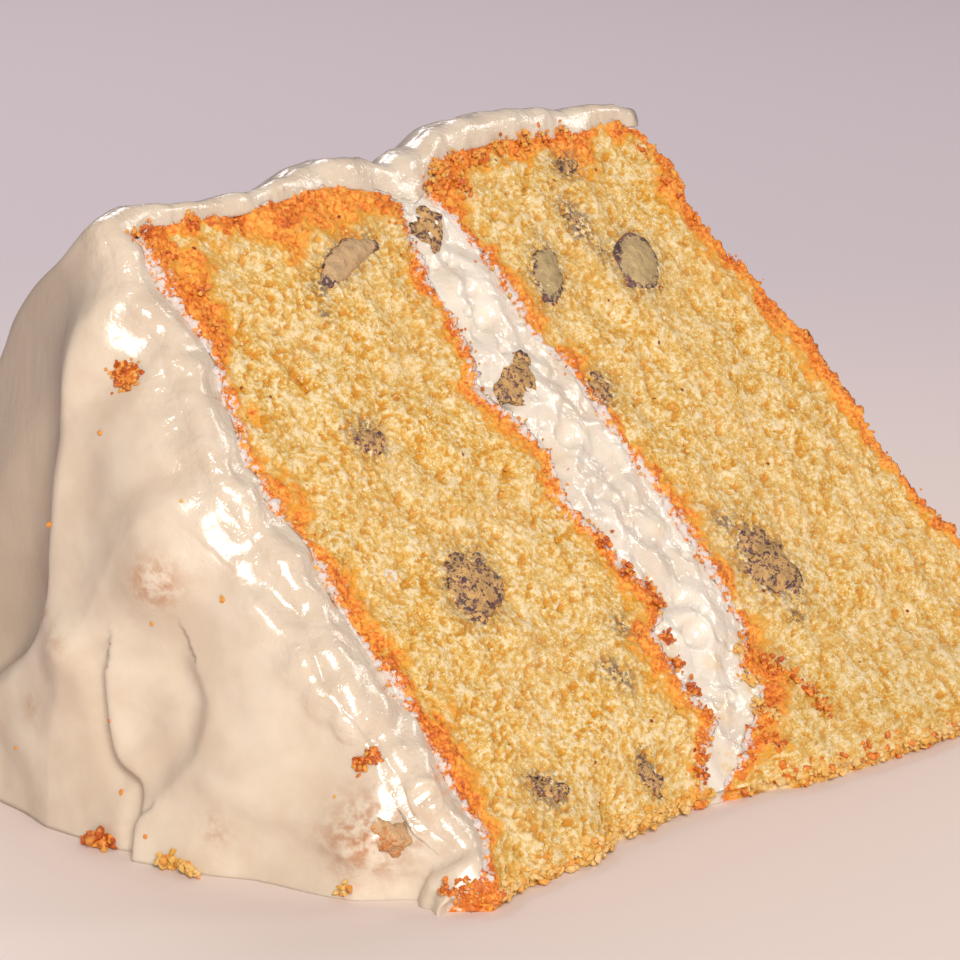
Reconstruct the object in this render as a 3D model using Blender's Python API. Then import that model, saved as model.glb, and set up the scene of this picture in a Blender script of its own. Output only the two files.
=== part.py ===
"""Slice of an iced two-layer butter cake with nuts, lying on its lower cut face.

Metres, +Z up. The cake's own axis runs along X: the iced top of the cake faces -X, the
bare base faces +X, and the outer rim of the cake is the high side. The lower cut lies on
Z = 0 and the upper cut rises from the tip edge at the slice angle. Profiles are given in
millimetres as pairs, and every solid is a wedge block that is turned about X and carved.
"""

import math

import bmesh
import bpy
from mathutils import Matrix, Vector, noise

MM = 0.001

# The cut of the slice
SLICE_ANGLE = math.radians(51.0)
TIP_RADIUS = 1.9
PAN_RADIUS = 76.0
GAP = 0.3
BED_GAP = 0.4

# The centre of the slice's outline on the floor, measured from the tip edge
CENTRE_X = 42.3
CENTRE_Y = 40.1

# Steps of the blocks: neighbours share them, so their facing sides run parallel
RADIAL_STEPS = 22
TURN_STEPS = 12
SPONGE_STEPS = 8
FILLING_STEPS = 2
ICING_STEPS = 2

# Where each layer starts and ends along X: (distance from the tip edge, X)
SPONGE_UPPER_START = ((2, -3.0), (4, -0.5), (7, 3.2), (20, 3.3), (30, 1.8), (40, 1.0), (50, -0.6),
                      (60, 2.0), (64, 2.6), (70, 0.8), (76, 0.6))
SPONGE_UPPER_END = ((2, 36.5), (6, 39.0), (10, 42.3), (15, 40.4), (21, 40.6), (24, 44.6), (30, 41.6),
                    (38, 39.0), (43, 40.0), (48, 37.8), (50, 35.2), (57, 37.2), (70, 37.7), (76, 39.6))
SPONGE_LOWER_START = ((2, 39.2), (6, 44.5), (11, 51.0), (14, 50.5), (17, 54.0), (25, 53.4), (35, 52.8),
                      (44, 50.6), (50, 50.0), (56, 47.6), (66, 46.8), (71, 45.4), (76, 43.4))
SPONGE_LOWER_END = ((2, 97.0), (19, 95.2), (27, 92.0), (38, 90.6), (45, 89.8), (55, 86.6), (60, 83.8),
                    (65, 82.4), (69, 84.0), (73, 82.8), (78, 81.4))

# Outer radius of the crumb at the rim: (X, radius). It dips where the two layers meet.
CRUMB_RIM = ((0, 75.4), (4, 76.6), (16, 76.4), (30, 77.4), (37, 76.2), (41, 73.8), (45, 75.4),
             (50, 78.2), (58, 78.6), (72, 78.2), (82, 77.4))

# How far the tip edge lies from the line that the cuts would meet in: (X, Y)
TIP_EDGE = ((-3, 2.6), (0, 0.0), (5, 1.4), (18, 1.6), (24, 3.8), (38, 3.8), (46, 1.8), (50, 0.0),
            (64, -1.8), (97, -2.6))
TIP_REACH = 12.0

# Thickness of the icing: over the cake's top (distance from the tip edge, thickness), and
# around the rim (X, thickness)
ICING_TOP = ((2, 2.0), (6, 5.6), (12, 8.6), (22, 9.6), (45, 9.0), (60, 9.4), (68, 8.6), (76, 6.4))
ICING_RIM = ((0, 4.6), (6, 3.2), (20, 3.0), (38, 5.4), (42, 6.6), (50, 4.2), (60, 5.0), (72, 4.8),
             (80, 3.2))
CORNER_REACH = 9.0
CUT_EDGE_THINNING = 3.6
CUT_EDGE_WIDTH = 4.5
FOOT_BULGE = 3.6
FOOT_BULGE_RADIUS = 33.0
FOOT_BULGE_WIDTH = 17.0

# Spatula ridges on the iced top, as (Y, Z) points on its face, with the ridge's height and
# half width and the depth of the hollow on its far side
RIDGES = (
    (((43, 57), (48, 48), (50, 36), (50, 25), (53, 18), (59, 12)), 1.7, 3.4, 1.6),
    (((43, 16), (43, 9), (39, 6), (38.5, 0)), 1.2, 2.6, 0.9),
    (((37, 4), (31, 10), (28.5, 15), (28, 18), (31, 23)), 1.1, 2.4, 0.7),
    (((24.5, 27), (16, 19.5), (11, 12.5)), 1.2, 2.6, 0.3),
)

# Lumps where something lies under the icing: (Y, Z, height, half width)
LUMPS = (
    (47.0, 20.0, 1.6, 3.4),
    (39.5, 47.0, 0.9, 2.2),
    (57.0, 34.0, 0.8, 5.0),
    (21.0, 11.0, 0.9, 4.2),
)

# Unevenness of the surfaces: height, wavelength and share of finer bumps. It fades out
# towards the thin tip.
CRUMB_RELIEF = (0.6, 5.0, 0.5)
CRUST_RELIEF = (0.8, 9.0, 0.1)
LAYER_WAVE = (0.9, 15.0, 0.1)
CREAM_RELIEF = (1.0, 6.0, 0.5)
ICING_RELIEF = (0.8, 11.0, 0.4)
TIP_RELIEF = (0.7, 4.0, 0.3)
TIP_CALM = 14.0

# Nut pieces in the upper cut: (X, distance from the tip edge, length, width, depth, turn in
# degrees from +X towards the rim, bend), and the solids that each one is set in
CUT_NUTS = (
    ((27.2, 68.8, 11.0, 3.3, 3.2, 20, 0.8), ("sponge_upper",)),
    ((16.7, 49.2, 4.9, 4.4, 3.4, -40, 0.0), ("sponge_upper",)),
    ((20.0, 31.2, 9.0, 7.4, 5.0, 48, 0.3), ("sponge_upper",)),
    ((15.0, 9.2, 5.2, 3.8, 3.0, -37, 0.0), ("sponge_upper",)),
    ((30.3, 6.6, 6.2, 2.4, 2.4, 82, 0.4), ("sponge_upper",)),
    ((32.4, 17.6, 4.3, 2.6, 2.4, -57, 0.0), ("sponge_upper",)),
    ((40.6, 70.2, 7.4, 4.9, 4.0, 45, 0.3), ("sponge_upper", "filling")),
    ((41.6, 51.4, 8.0, 7.0, 5.0, 46, 0.0), ("sponge_upper", "filling")),
    ((52.4, 47.7, 5.1, 3.4, 3.0, 44, 0.0), ("filling", "sponge_lower")),
    ((67.1, 74.4, 4.4, 3.4, 3.0, 20, 0.0), ("sponge_lower",)),
    ((54.2, 62.2, 8.2, 4.4, 3.6, 60, 0.5), ("sponge_lower",)),
    ((63.2, 67.4, 6.6, 3.4, 3.4, 95, 0.5), ("sponge_lower",)),
    ((69.2, 61.2, 8.7, 6.4, 5.0, 49, 0.2), ("sponge_lower",)),
    ((62.7, 24.2, 11.6, 8.2, 6.0, 110, 0.6), ("sponge_lower",)),
)
# Nut pieces in the face of the iced top: (Y, Z, length, width, depth, turn in degrees from
# +Y towards +Z, bend)
ICING_NUTS = (
    (11.0, 6.4, 8.2, 4.4, 3.6, 13, 0.4),
    (35.9, 28.4, 6.4, 5.0, 4.0, 60, 0.2),
)
NUT_LOBES = 0.16
NUT_PROUD = 0.25
NUT_SINK = 0.12

# Looks of the pieces: sRGB colour and roughness
COLOURS = {
    "crumb": ((222, 183, 112), 0.85),
    "icing": ((232, 219, 200), 0.32),
    "filling": ((236, 228, 206), 0.22),
    "nut": ((98, 72, 62), 0.55),
}


def clear_scene():
    """Remove every object of the open file."""
    for thing in list(bpy.data.objects):
        bpy.data.objects.remove(thing, do_unlink=True)


def linear(channel):
    """Linear value of one sRGB channel from 0 to 255."""
    share = channel / 255.0
    if share <= 0.04045:
        return share / 12.92
    return ((share + 0.055) / 1.055) ** 2.4


def make_material(name, look):
    """A Principled material of its own for one piece."""
    colour, roughness = COLOURS[look]
    material = bpy.data.materials.new(name)
    material.use_nodes = True
    shader = material.node_tree.nodes["Principled BSDF"]
    shader.inputs["Base Color"].default_value = [linear(c) for c in colour] + [1.0]
    shader.inputs["Roughness"].default_value = roughness
    shader.inputs["Metallic"].default_value = 0.0
    return material


def mix(low, high, share):
    """The value at a share of the way from low to high."""
    return low + (high - low) * share


def ease(share):
    """A smooth step from 0 to 1."""
    share = min(max(share, 0.0), 1.0)
    return share * share * (3.0 - 2.0 * share)


def read_profile(profile, position):
    """Value of a profile at a position, eased from each of its stations to the next."""
    if position <= profile[0][0]:
        return profile[0][1]
    for (start, low), (end, high) in zip(profile, profile[1:]):
        if position <= end:
            share = (position - start) / (end - start)
            return mix(low, high, mix(share, ease(share), 0.5))
    return profile[-1][1]


def unevenness(relief, x, y, z):
    """Height of a smooth random relief at a point."""
    height, wavelength, fine_share = relief
    place = Vector((x, y, z)) / wavelength
    coarse = noise.noise(place)
    fine = noise.noise(place * 2.3 + Vector((7.1, 3.3, 5.7)))
    return height * (coarse + fine_share * fine)


def on_section(x, radius, turn):
    """The point at a distance from the tip edge, a share of the slice angle up."""
    angle = SLICE_ANGLE * turn
    y = radius * math.cos(angle) + tip_shift(x, radius)
    return Vector((x, y, radius * math.sin(angle)))


def cut_normal():
    """The direction that the upper cut faces."""
    return Vector((0.0, -math.sin(SLICE_ANGLE), math.cos(SLICE_ANGLE)))


def boundary(profile, radius, turn):
    """X of a boundary between layers, as cut at the upper face and wavy inside."""
    x = read_profile(profile, radius)
    inside = ease((1.0 - turn) * 3.0) * ease(radius / 15.0)
    return x + inside * unevenness(LAYER_WAVE, profile[-1][1], radius, turn * 50.0)


def crumb_radius(x, turn):
    """Distance of the browned rim from the tip edge."""
    return read_profile(CRUMB_RIM, x) + unevenness(CRUST_RELIEF, x, turn * 60.0, 4.0)


def tip_shift(x, radius):
    """How far the ragged tip of the slice is spread forwards or worn back along Y."""
    edge = read_profile(TIP_EDGE, x) + unevenness(TIP_RELIEF, x, 0.0, 9.0) - TIP_RADIUS
    return edge * (1.0 - ease((radius - TIP_RADIUS) / TIP_REACH))


def crumb_point(start, end, shift, along, across, turn):
    """Point of a layer between two boundaries.

    along runs from the first boundary to the second, across from the tip edge to the rim,
    and turn from the lower cut to the upper cut. shift sets the two faces back along X.
    """
    radius = mix(TIP_RADIUS, PAN_RADIUS, across)
    low = boundary(start, radius, turn) + shift[0]
    high = boundary(end, radius, turn) + shift[1]
    x = mix(low, high, along)
    rim = crumb_radius(x, turn)
    return x, mix(TIP_RADIUS, rim, across)


def raise_cut(point, turn, height):
    """Lift a point of the upper cut off its plane."""
    if turn > 0.999:
        return point + cut_normal() * height
    return point


def layer_shape(start, end, shift, relief):
    """Carving rule of a sponge layer or of the filling."""
    def shape(along, across, turn):
        x, radius = crumb_point(start, end, shift, along, across, turn)
        point = on_section(x, radius, turn)
        return raise_cut(point, turn, unevenness(relief, x, radius, 2.0) * ease(radius / TIP_CALM))
    return shape


def distance_to_ridge(points, y, z):
    """Signed distance from a ridge line, positive on its far side from the tip."""
    best = None
    for (y0, z0), (y1, z1) in zip(points, points[1:]):
        run = Vector((y1 - y0, z1 - z0))
        offset = Vector((y - y0, z - z0))
        share = min(max(offset.dot(run) / run.length_squared, 0.0), 1.0)
        away = offset - run * share
        if best is None or away.length < abs(best):
            side = 1.0 if run.x * offset.y - run.y * offset.x > 0.0 else -1.0
            best = side * away.length
    return best


def spatula_relief(y, z):
    """Height of the ridges, hollows and lumps on the iced top."""
    height = 0.0
    for points, crest, width, hollow in RIDGES:
        distance = distance_to_ridge(points, y, z)
        height += crest * math.exp(-(distance / width) ** 2)
        beyond = (distance - 2.2 * width) / (1.6 * width)
        height -= hollow * math.exp(-beyond ** 2)
    for lump_y, lump_z, crest, width in LUMPS:
        away = ((y - lump_y) ** 2 + (z - lump_z) ** 2) / width ** 2
        height += crest * math.exp(-away)
    return height


def icing_path():
    """Stations of the icing from the tip, over the corner and along the rim.

    Each station names the face that it lies on and the share of the way along it. The
    cells beside the corner are split, which rounds it.
    """
    stations = [("top", step / RADIAL_STEPS) for step in range(RADIAL_STEPS)]
    stations.append(("top", 1.0 - 0.45 / RADIAL_STEPS))
    stations.append(("corner", 1.0))
    stations.append(("upper", 0.4 / SPONGE_STEPS))
    stations += [("upper", step / SPONGE_STEPS) for step in range(1, SPONGE_STEPS)]
    stations += [("filling", step / FILLING_STEPS) for step in range(FILLING_STEPS + 1)]
    stations += [("lower", step / SPONGE_STEPS) for step in range(1, SPONGE_STEPS + 1)]
    return stations


def icing_bed(station, turn):
    """Point of the crumb under the icing, and its distance past the corner."""
    face, share = station
    corner_x, corner_radius = crumb_point(
        SPONGE_UPPER_START, SPONGE_UPPER_END, (0.0, 0.0), 0.0, 1.0, turn)
    if face == "top":
        x, radius = crumb_point(
            SPONGE_UPPER_START, SPONGE_UPPER_END, (0.0, 0.0), 0.0, share, turn)
        return x - BED_GAP, radius, radius - corner_radius
    if face == "corner":
        return corner_x - BED_GAP, corner_radius + BED_GAP, 0.0
    faces = {
        "upper": (SPONGE_UPPER_START, SPONGE_UPPER_END),
        "filling": (SPONGE_UPPER_END, SPONGE_LOWER_START),
        "lower": (SPONGE_LOWER_START, SPONGE_LOWER_END),
    }
    start, end = faces[face]
    x, radius = crumb_point(start, end, (0.0, 0.0), share, 1.0, turn)
    return x, radius + BED_GAP, x - corner_x


def icing_thickness(radius, turn, past_corner, x):
    """Thickness of the icing over a point of its bed."""
    angle = SLICE_ANGLE * turn
    y = radius * math.cos(angle)
    z = radius * math.sin(angle)
    top = read_profile(ICING_TOP, radius)
    foot = (radius - FOOT_BULGE_RADIUS) / FOOT_BULGE_WIDTH
    top += FOOT_BULGE * (1.0 - turn) ** 2 * math.exp(-foot ** 2)
    top += spatula_relief(y, z) * ease(radius / 14.0)
    top += unevenness(ICING_RELIEF, 0.0, y, z) * ease(radius / 14.0)
    from_cut = radius * SLICE_ANGLE * (1.0 - turn) / CUT_EDGE_WIDTH
    top -= CUT_EDGE_THINNING * math.exp(-from_cut ** 2) * ease(radius / 16.0)
    rim = read_profile(ICING_RIM, x) + unevenness(ICING_RELIEF, x, turn * 60.0, 30.0)
    return mix(top, rim, ease((past_corner + 1.2 * CORNER_REACH) / (1.6 * CORNER_REACH)))


def icing_shape(stations):
    """Carving rule of the icing, which lies over the top and around the rim."""
    def shape(along, across, turn):
        station = stations[round(along * (len(stations) - 1))]
        x, radius, past_corner = icing_bed(station, turn)
        thickness = icing_thickness(radius, turn, past_corner, x)
        lean = 0.5 * math.pi * ease((past_corner + CORNER_REACH) / (2.0 * CORNER_REACH))
        x -= across * thickness * math.cos(lean)
        radius += across * thickness * math.sin(lean)
        point = on_section(x, radius, turn)
        swell = math.sin(math.pi * across) * 0.8
        edge = -0.9 * across ** 4
        lumps = unevenness(CREAM_RELIEF, x, radius, 6.0)
        return raise_cut(point, turn, (swell + edge + lumps) * ease(radius / TIP_CALM))
    return shape


def wedge_block(along_steps, across_steps):
    """A wedge turned about X from a grid, with unit sides, split in even cells."""
    mesh = bmesh.new()
    bmesh.ops.create_grid(mesh, x_segments=along_steps, y_segments=across_steps, size=0.5)
    bmesh.ops.translate(mesh, verts=mesh.verts, vec=(0.5, 1.5, 0.0))
    bmesh.ops.spin(mesh, geom=mesh.faces[:], cent=(0, 0, 0), axis=(1, 0, 0), dvec=(0, 0, 0),
                   angle=SLICE_ANGLE, steps=TURN_STEPS, use_merge=False, use_duplicate=False)
    return mesh


def carve(mesh, shape):
    """Move every corner of a wedge block to its place in the cake."""
    for vert in mesh.verts:
        x, y, z = vert.co
        across = min(max(math.hypot(y, z) - 1.0, 0.0), 1.0)
        turn = min(max(math.atan2(z, y) / SLICE_ANGLE, 0.0), 1.0)
        vert.co = shape(min(max(x, 0.0), 1.0), across, turn) * MM


def join_flat_foot(mesh):
    """Merge the cells that lie on the floor into one flat face."""
    foot = [face for face in mesh.faces if all(abs(vert.co.z) < 1e-7 for vert in face.verts)]
    for face in foot:
        for vert in face.verts:
            vert.co.z = 0.0
    bmesh.ops.dissolve_faces(mesh, faces=foot, use_verts=False)


def add_object(name, mesh, look, parent):
    """Turn a bmesh into an object with a material of its own."""
    bmesh.ops.triangulate(mesh, faces=mesh.faces[:], quad_method="SHORT_EDGE")
    bmesh.ops.recalc_face_normals(mesh, faces=mesh.faces[:])
    data = bpy.data.meshes.new(name)
    mesh.to_mesh(data)
    mesh.free()
    thing = bpy.data.objects.new(name, data)
    bpy.context.scene.collection.objects.link(thing)
    thing.parent = parent
    data.materials.append(make_material(name, look))
    data.shade_smooth()
    data.set_sharp_from_angle(angle=math.radians(45.0))
    return thing


def build_layer(name, profiles, shift, steps, relief, look, parent):
    """One sponge layer, or the filling between them."""
    mesh = wedge_block(steps, RADIAL_STEPS)
    carve(mesh, layer_shape(profiles[0], profiles[1], shift, relief))
    join_flat_foot(mesh)
    return add_object(name, mesh, look, parent)


def build_icing(parent):
    """The coat over the top and the rim, in one piece."""
    stations = icing_path()
    mesh = wedge_block(len(stations) - 1, ICING_STEPS)
    carve(mesh, icing_shape(stations))
    join_flat_foot(mesh)
    return add_object("icing", mesh, "icing", parent)


def nut_body(size, bend, seed, grow):
    """A lobed nut piece about its own centre, its long side along X and its face up."""
    mesh = bmesh.new()
    bmesh.ops.create_icosphere(mesh, subdivisions=2, radius=1.0)
    for vert in mesh.verts:
        way = vert.co.normalized()
        lobe = 1.0 + NUT_LOBES * noise.noise(way * 1.7 + Vector((seed * 3.7, seed, 0.0)))
        x, y, z = (way[side] * size[side] * 0.5 * lobe for side in range(3))
        bow = (2.0 * x / size[0]) ** 2
        vert.co = Vector((x, y - bend * bow, z)) * MM
    mesh.normal_update()
    for vert in mesh.verts:
        vert.co += vert.normal * grow * MM
    return mesh


def slice_flush(mesh, height):
    """Cut a nut piece level with the face that it shows in."""
    cut = bmesh.ops.bisect_plane(
        mesh, geom=mesh.verts[:] + mesh.edges[:] + mesh.faces[:], dist=1e-7,
        plane_co=(0, 0, height * MM), plane_no=(0, 0, 1), clear_outer=True)
    rim = [item for item in cut["geom_cut"] if isinstance(item, bmesh.types.BMEdge)]
    bmesh.ops.holes_fill(mesh, edges=rim, sides=0)


def set_in_pocket(name, size, bend, place, hosts, flush, parent):
    """Place a nut piece and cut its pocket into the solids around it."""
    seed = sum(ord(letter) for letter in name) % 97
    nut_mesh = nut_body(size, bend, seed, 0.0)
    if flush is not None:
        slice_flush(nut_mesh, flush)
    nut = add_object(name, nut_mesh, "nut", parent)
    nut.matrix_local = place
    pocket = add_object(name + "_pocket", nut_body(size, bend, seed, GAP), "nut", parent)
    pocket.matrix_local = place
    pocket.hide_render = True
    pocket.display_type = "WIRE"
    for host in hosts:
        cut = host.modifiers.new(name, "BOOLEAN")
        cut.operation = "DIFFERENCE"
        cut.solver = "EXACT"
        cut.object = pocket


def placed(centre, long_side, facing):
    """Matrix that puts a piece at a centre with its long side and its face turned."""
    across = facing.cross(long_side)
    turned = Matrix((long_side, across, facing)).transposed().to_4x4()
    return Matrix.Translation(centre * MM) @ turned


def set_cut_nuts(solids, parent):
    """The nut pieces that the knife went through."""
    facing = cut_normal()
    outwards = Vector((0, math.cos(SLICE_ANGLE), math.sin(SLICE_ANGLE)))
    for number, (nut, hosts) in enumerate(CUT_NUTS, start=1):
        x, radius, length, width, depth, turn, bend = nut
        angle = math.radians(turn)
        long_side = Vector((1, 0, 0)) * math.cos(angle) + outwards * math.sin(angle)
        sink = depth * NUT_SINK
        centre = on_section(x, radius, 1.0) - facing * sink
        set_in_pocket("pecan_%02d" % number, (length, width, depth), bend,
                      placed(centre, long_side, facing), [solids[host] for host in hosts],
                      sink + NUT_PROUD, parent)


def set_icing_nuts(icing, parent):
    """The nut pieces that show in the icing over the cake's top."""
    facing = Vector((-1, 0, 0))
    for number, nut in enumerate(ICING_NUTS, start=len(CUT_NUTS) + 1):
        y, z, length, width, depth, turn, bend = nut
        radius = math.hypot(y, z)
        share = math.atan2(z, y) / SLICE_ANGLE
        x = boundary(SPONGE_UPPER_START, radius, share)
        x -= icing_thickness(radius, share, radius - PAN_RADIUS, x)
        angle = math.radians(turn)
        long_side = Vector((0, math.cos(angle), math.sin(angle)))
        centre = Vector((x + depth * 0.22, y, z))
        set_in_pocket("pecan_%02d" % number, (length, width, depth), bend,
                      placed(centre, long_side, facing), [icing], None, parent)


def main():
    """Build the slice."""
    clear_scene()
    slice_frame = bpy.data.objects.new("cake_slice", None)
    bpy.context.scene.collection.objects.link(slice_frame)
    slice_frame.location = (-CENTRE_X * MM, -CENTRE_Y * MM, 0.0)
    half = GAP / 2.0
    solids = {
        "sponge_upper": build_layer("sponge_upper", (SPONGE_UPPER_START, SPONGE_UPPER_END),
                                    (0.0, -half), SPONGE_STEPS, CRUMB_RELIEF, "crumb", slice_frame),
        "filling": build_layer("filling", (SPONGE_UPPER_END, SPONGE_LOWER_START),
                               (half, -half), FILLING_STEPS, CREAM_RELIEF, "filling", slice_frame),
        "sponge_lower": build_layer("sponge_lower", (SPONGE_LOWER_START, SPONGE_LOWER_END),
                                    (half, 0.0), SPONGE_STEPS, CRUMB_RELIEF, "crumb", slice_frame),
    }
    icing = build_icing(slice_frame)
    set_cut_nuts(solids, slice_frame)
    set_icing_nuts(icing, slice_frame)


main()
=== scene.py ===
"""Looks of the layer cake slice: crumb, crust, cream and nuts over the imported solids.

The forms repeat the named sizes of the part's source, in millimetres, in the slice's own
frame: X runs along the cake's axis, and a point is given by X, its distance from the tip
edge and its turn from the lower cut (0) to the upper cut (1).
"""
import logging
import math
from dataclasses import dataclass, field
from enum import Enum

import bmesh
import bpy
import numpy as np
from mathutils import Matrix, Vector, noise


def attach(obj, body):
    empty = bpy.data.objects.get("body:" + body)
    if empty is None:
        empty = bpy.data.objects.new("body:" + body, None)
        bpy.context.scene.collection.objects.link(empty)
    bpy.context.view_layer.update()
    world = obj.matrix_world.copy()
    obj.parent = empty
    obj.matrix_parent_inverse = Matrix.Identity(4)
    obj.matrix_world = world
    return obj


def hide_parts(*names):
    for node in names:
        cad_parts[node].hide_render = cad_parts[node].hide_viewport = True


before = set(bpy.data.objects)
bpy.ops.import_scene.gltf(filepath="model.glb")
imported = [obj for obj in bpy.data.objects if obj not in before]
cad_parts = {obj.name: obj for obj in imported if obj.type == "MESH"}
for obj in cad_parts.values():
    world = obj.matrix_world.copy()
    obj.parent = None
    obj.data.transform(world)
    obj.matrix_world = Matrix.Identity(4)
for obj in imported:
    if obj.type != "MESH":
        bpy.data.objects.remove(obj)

MM = 0.001
# The turn from cut to cut counts this many millimetres in the noise patterns.
TURN_SPAN = 60.0
# Shares of the turn from which a place is near the upper cut, and on it.
NEAR_CUT = 0.98
ON_CUT = 0.999
Colour = tuple[float, float, float]
Stations = tuple[tuple[float, float], ...]

log = logging.getLogger("cake")


def linear(colour: Colour) -> tuple[float, float, float, float]:
    """Linear RGBA of an sRGB colour.

    Args:
        colour: red, green and blue from 0 to 255.

    Returns:
        The colour as Blender's sockets take it.
    """
    shares = [channel / 255.0 for channel in colour]
    steps = [s / 12.92 if s <= 0.04045 else ((s + 0.055) / 1.055) ** 2.4 for s in shares]
    return (steps[0], steps[1], steps[2], 1.0)


def mix(low: np.ndarray, high: np.ndarray, share: np.ndarray) -> np.ndarray:
    """Values at a share of the way from low to high.

    Args:
        low: values at share 0.
        high: values at share 1.
        share: the shares.

    Returns:
        The mixed values.
    """
    return low + (high - low) * share


def ease(share: np.ndarray) -> np.ndarray:
    """A smooth step from 0 to 1.

    Args:
        share: values, cut off below 0 and above 1.

    Returns:
        The eased values.
    """
    share = np.clip(share, 0.0, 1.0)
    return share * share * (3.0 - 2.0 * share)


def lots(places: np.ndarray, salt: int) -> np.ndarray:
    """A fixed random value from 0 to 1 for each whole-numbered place.

    Args:
        places: places, with three coordinates on the last axis.
        salt: picks one of many such patterns.

    Returns:
        One value for each place.
    """
    keys = places.astype(np.int64)
    mixed = (keys[..., 0] * 73856093) ^ (keys[..., 1] * 19349663) ^ (keys[..., 2] * 83492791)
    mixed = ((mixed ^ (salt * 40503)) & 0xFFFFFFFF).astype(np.uint64)
    mixed = ((mixed ^ (mixed >> np.uint64(15))) * np.uint64(2246822519)) & np.uint64(0xFFFFFFFF)
    mixed = ((mixed ^ (mixed >> np.uint64(13))) * np.uint64(3266489917)) & np.uint64(0xFFFFFFFF)
    return ((mixed ^ (mixed >> np.uint64(16))) & np.uint64(0xFFFFFF)) / float(0xFFFFFF)


def clouds(points: np.ndarray, salt: int) -> np.ndarray:
    """Smooth noise from -1 to 1.

    Args:
        points: places, one row each.
        salt: picks one of many such patterns.

    Returns:
        One value for each row.
    """
    base = np.floor(points)
    share = ease(points - base)
    total = np.zeros(len(points))
    for corner in np.ndindex(2, 2, 2):
        weight = np.prod(np.where(corner, share, 1.0 - share), axis=1)
        total += weight * lots(base + corner, salt)
    return total * 2.0 - 1.0


def cells(points: np.ndarray, salt: int) -> tuple[np.ndarray, np.ndarray, np.ndarray]:
    """Cell pattern around scattered centres.

    Args:
        points: places, one row each.
        salt: picks one of many such patterns.

    Returns:
        The distance to the nearest centre and to the next, and a fixed random value from
        0 to 1 for the nearest centre.
    """
    base = np.floor(points)
    near = np.full(len(points), 9.0)
    second = near.copy()
    lot = np.zeros(len(points))
    for step in np.ndindex(3, 3, 3):
        cell = base + step - 1.0
        centre = cell + np.stack([lots(cell, salt + axis) for axis in (1, 2, 3)], axis=1)
        away = np.linalg.norm(points - centre, axis=1)
        closer = away < near
        second = np.where(closer, near, np.minimum(second, away))
        lot = np.where(closer, lots(cell, salt + 4), lot)
        near = np.where(closer, away, near)
    return near, second, lot


def line_distance(points: Stations, u: np.ndarray, v: np.ndarray) -> np.ndarray:
    """Distance from places in a plane to a line through points.

    Args:
        points: the line's points.
        u: first coordinate of the places.
        v: second coordinate of the places.

    Returns:
        The distances, positive on the line's left-hand side and negative on its right.
    """
    distance = np.full(u.shape, 1e6)
    for (u0, v0), (u1, v1) in zip(points, points[1:]):
        run_u, run_v = u1 - u0, v1 - v0
        share = ((u - u0) * run_u + (v - v0) * run_v) / (run_u ** 2 + run_v ** 2)
        share = np.clip(share, 0.0, 1.0)
        away = np.hypot(u - u0 - share * run_u, v - v0 - share * run_v)
        side = np.where(run_u * (v - v0) - run_v * (u - u0) > 0.0, 1.0, -1.0)
        distance = np.where(away < np.abs(distance), side * away, distance)
    return distance


def smooth_line(points: Stations, steps: int = 6) -> Stations:
    """Round a line's corners with points between its own.

    Args:
        points: the line's points.
        steps: how many short pieces each of its pieces becomes.

    Returns:
        The finer line, which still runs through the points.
    """
    ends = (points[0],) + points + (points[-1],)
    line = []
    for before, start, end, after in zip(ends, ends[1:], ends[2:], ends[3:]):
        for step in range(steps):
            t = step / steps
            line.append(tuple(
                0.5 * (2.0 * q + (r - p) * t + (2.0 * p - 5.0 * q + 4.0 * r - s) * t ** 2
                       + (3.0 * q - p - 3.0 * r + s) * t ** 3)
                for p, q, r, s in zip(before, start, end, after)))
    return tuple(line) + (points[-1],)


def noise_rows(x: np.ndarray, radius: np.ndarray, turn: np.ndarray) -> np.ndarray:
    """Places for the noise patterns.

    Args:
        x: place along the cake's axis.
        radius: distance from the tip edge.
        turn: share of the slice angle.

    Returns:
        One row of coordinates for each place.
    """
    return np.stack([x, radius, turn * TURN_SPAN], axis=-1)


def farness(u: np.ndarray, v: np.ndarray, spot: list[float], reach: float) -> np.ndarray:
    """Squared distance from a spot, counted in its reach.

    Args:
        u: first coordinate of the places.
        v: second coordinate of the places.
        spot: the spot's two coordinates.
        reach: the distance that counts as 1.

    Returns:
        One value for each place.
    """
    return ((u - spot[0]) ** 2 + (v - spot[1]) ** 2) / reach ** 2


@dataclass(frozen=True)
class Relief:
    """A smooth random unevenness that the solids have too.

    Attributes:
        height: height in millimetres.
        wavelength: rough size of a bump.
        fine: share of finer bumps on it.
    """

    height: float
    wavelength: float
    fine: float

    def at(self, x: np.ndarray, y: np.ndarray, z: np.ndarray) -> np.ndarray:
        """Heights at places given by three coordinates.

        Args:
            x: first coordinate.
            y: second coordinate.
            z: third coordinate.

        Returns:
            The heights in millimetres.
        """
        x, y, z = np.broadcast_arrays(x, y, z)
        place = np.stack([x, y, z], axis=-1).astype(float) / self.wavelength
        finer = place * 2.3 + np.array([7.1, 3.3, 5.7])
        coarse = np.array([noise.noise(point) for point in place.reshape(-1, 3).tolist()])
        fine = np.array([noise.noise(point) for point in finer.reshape(-1, 3).tolist()])
        return (self.height * (coarse + self.fine * fine)).reshape(x.shape)


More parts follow.
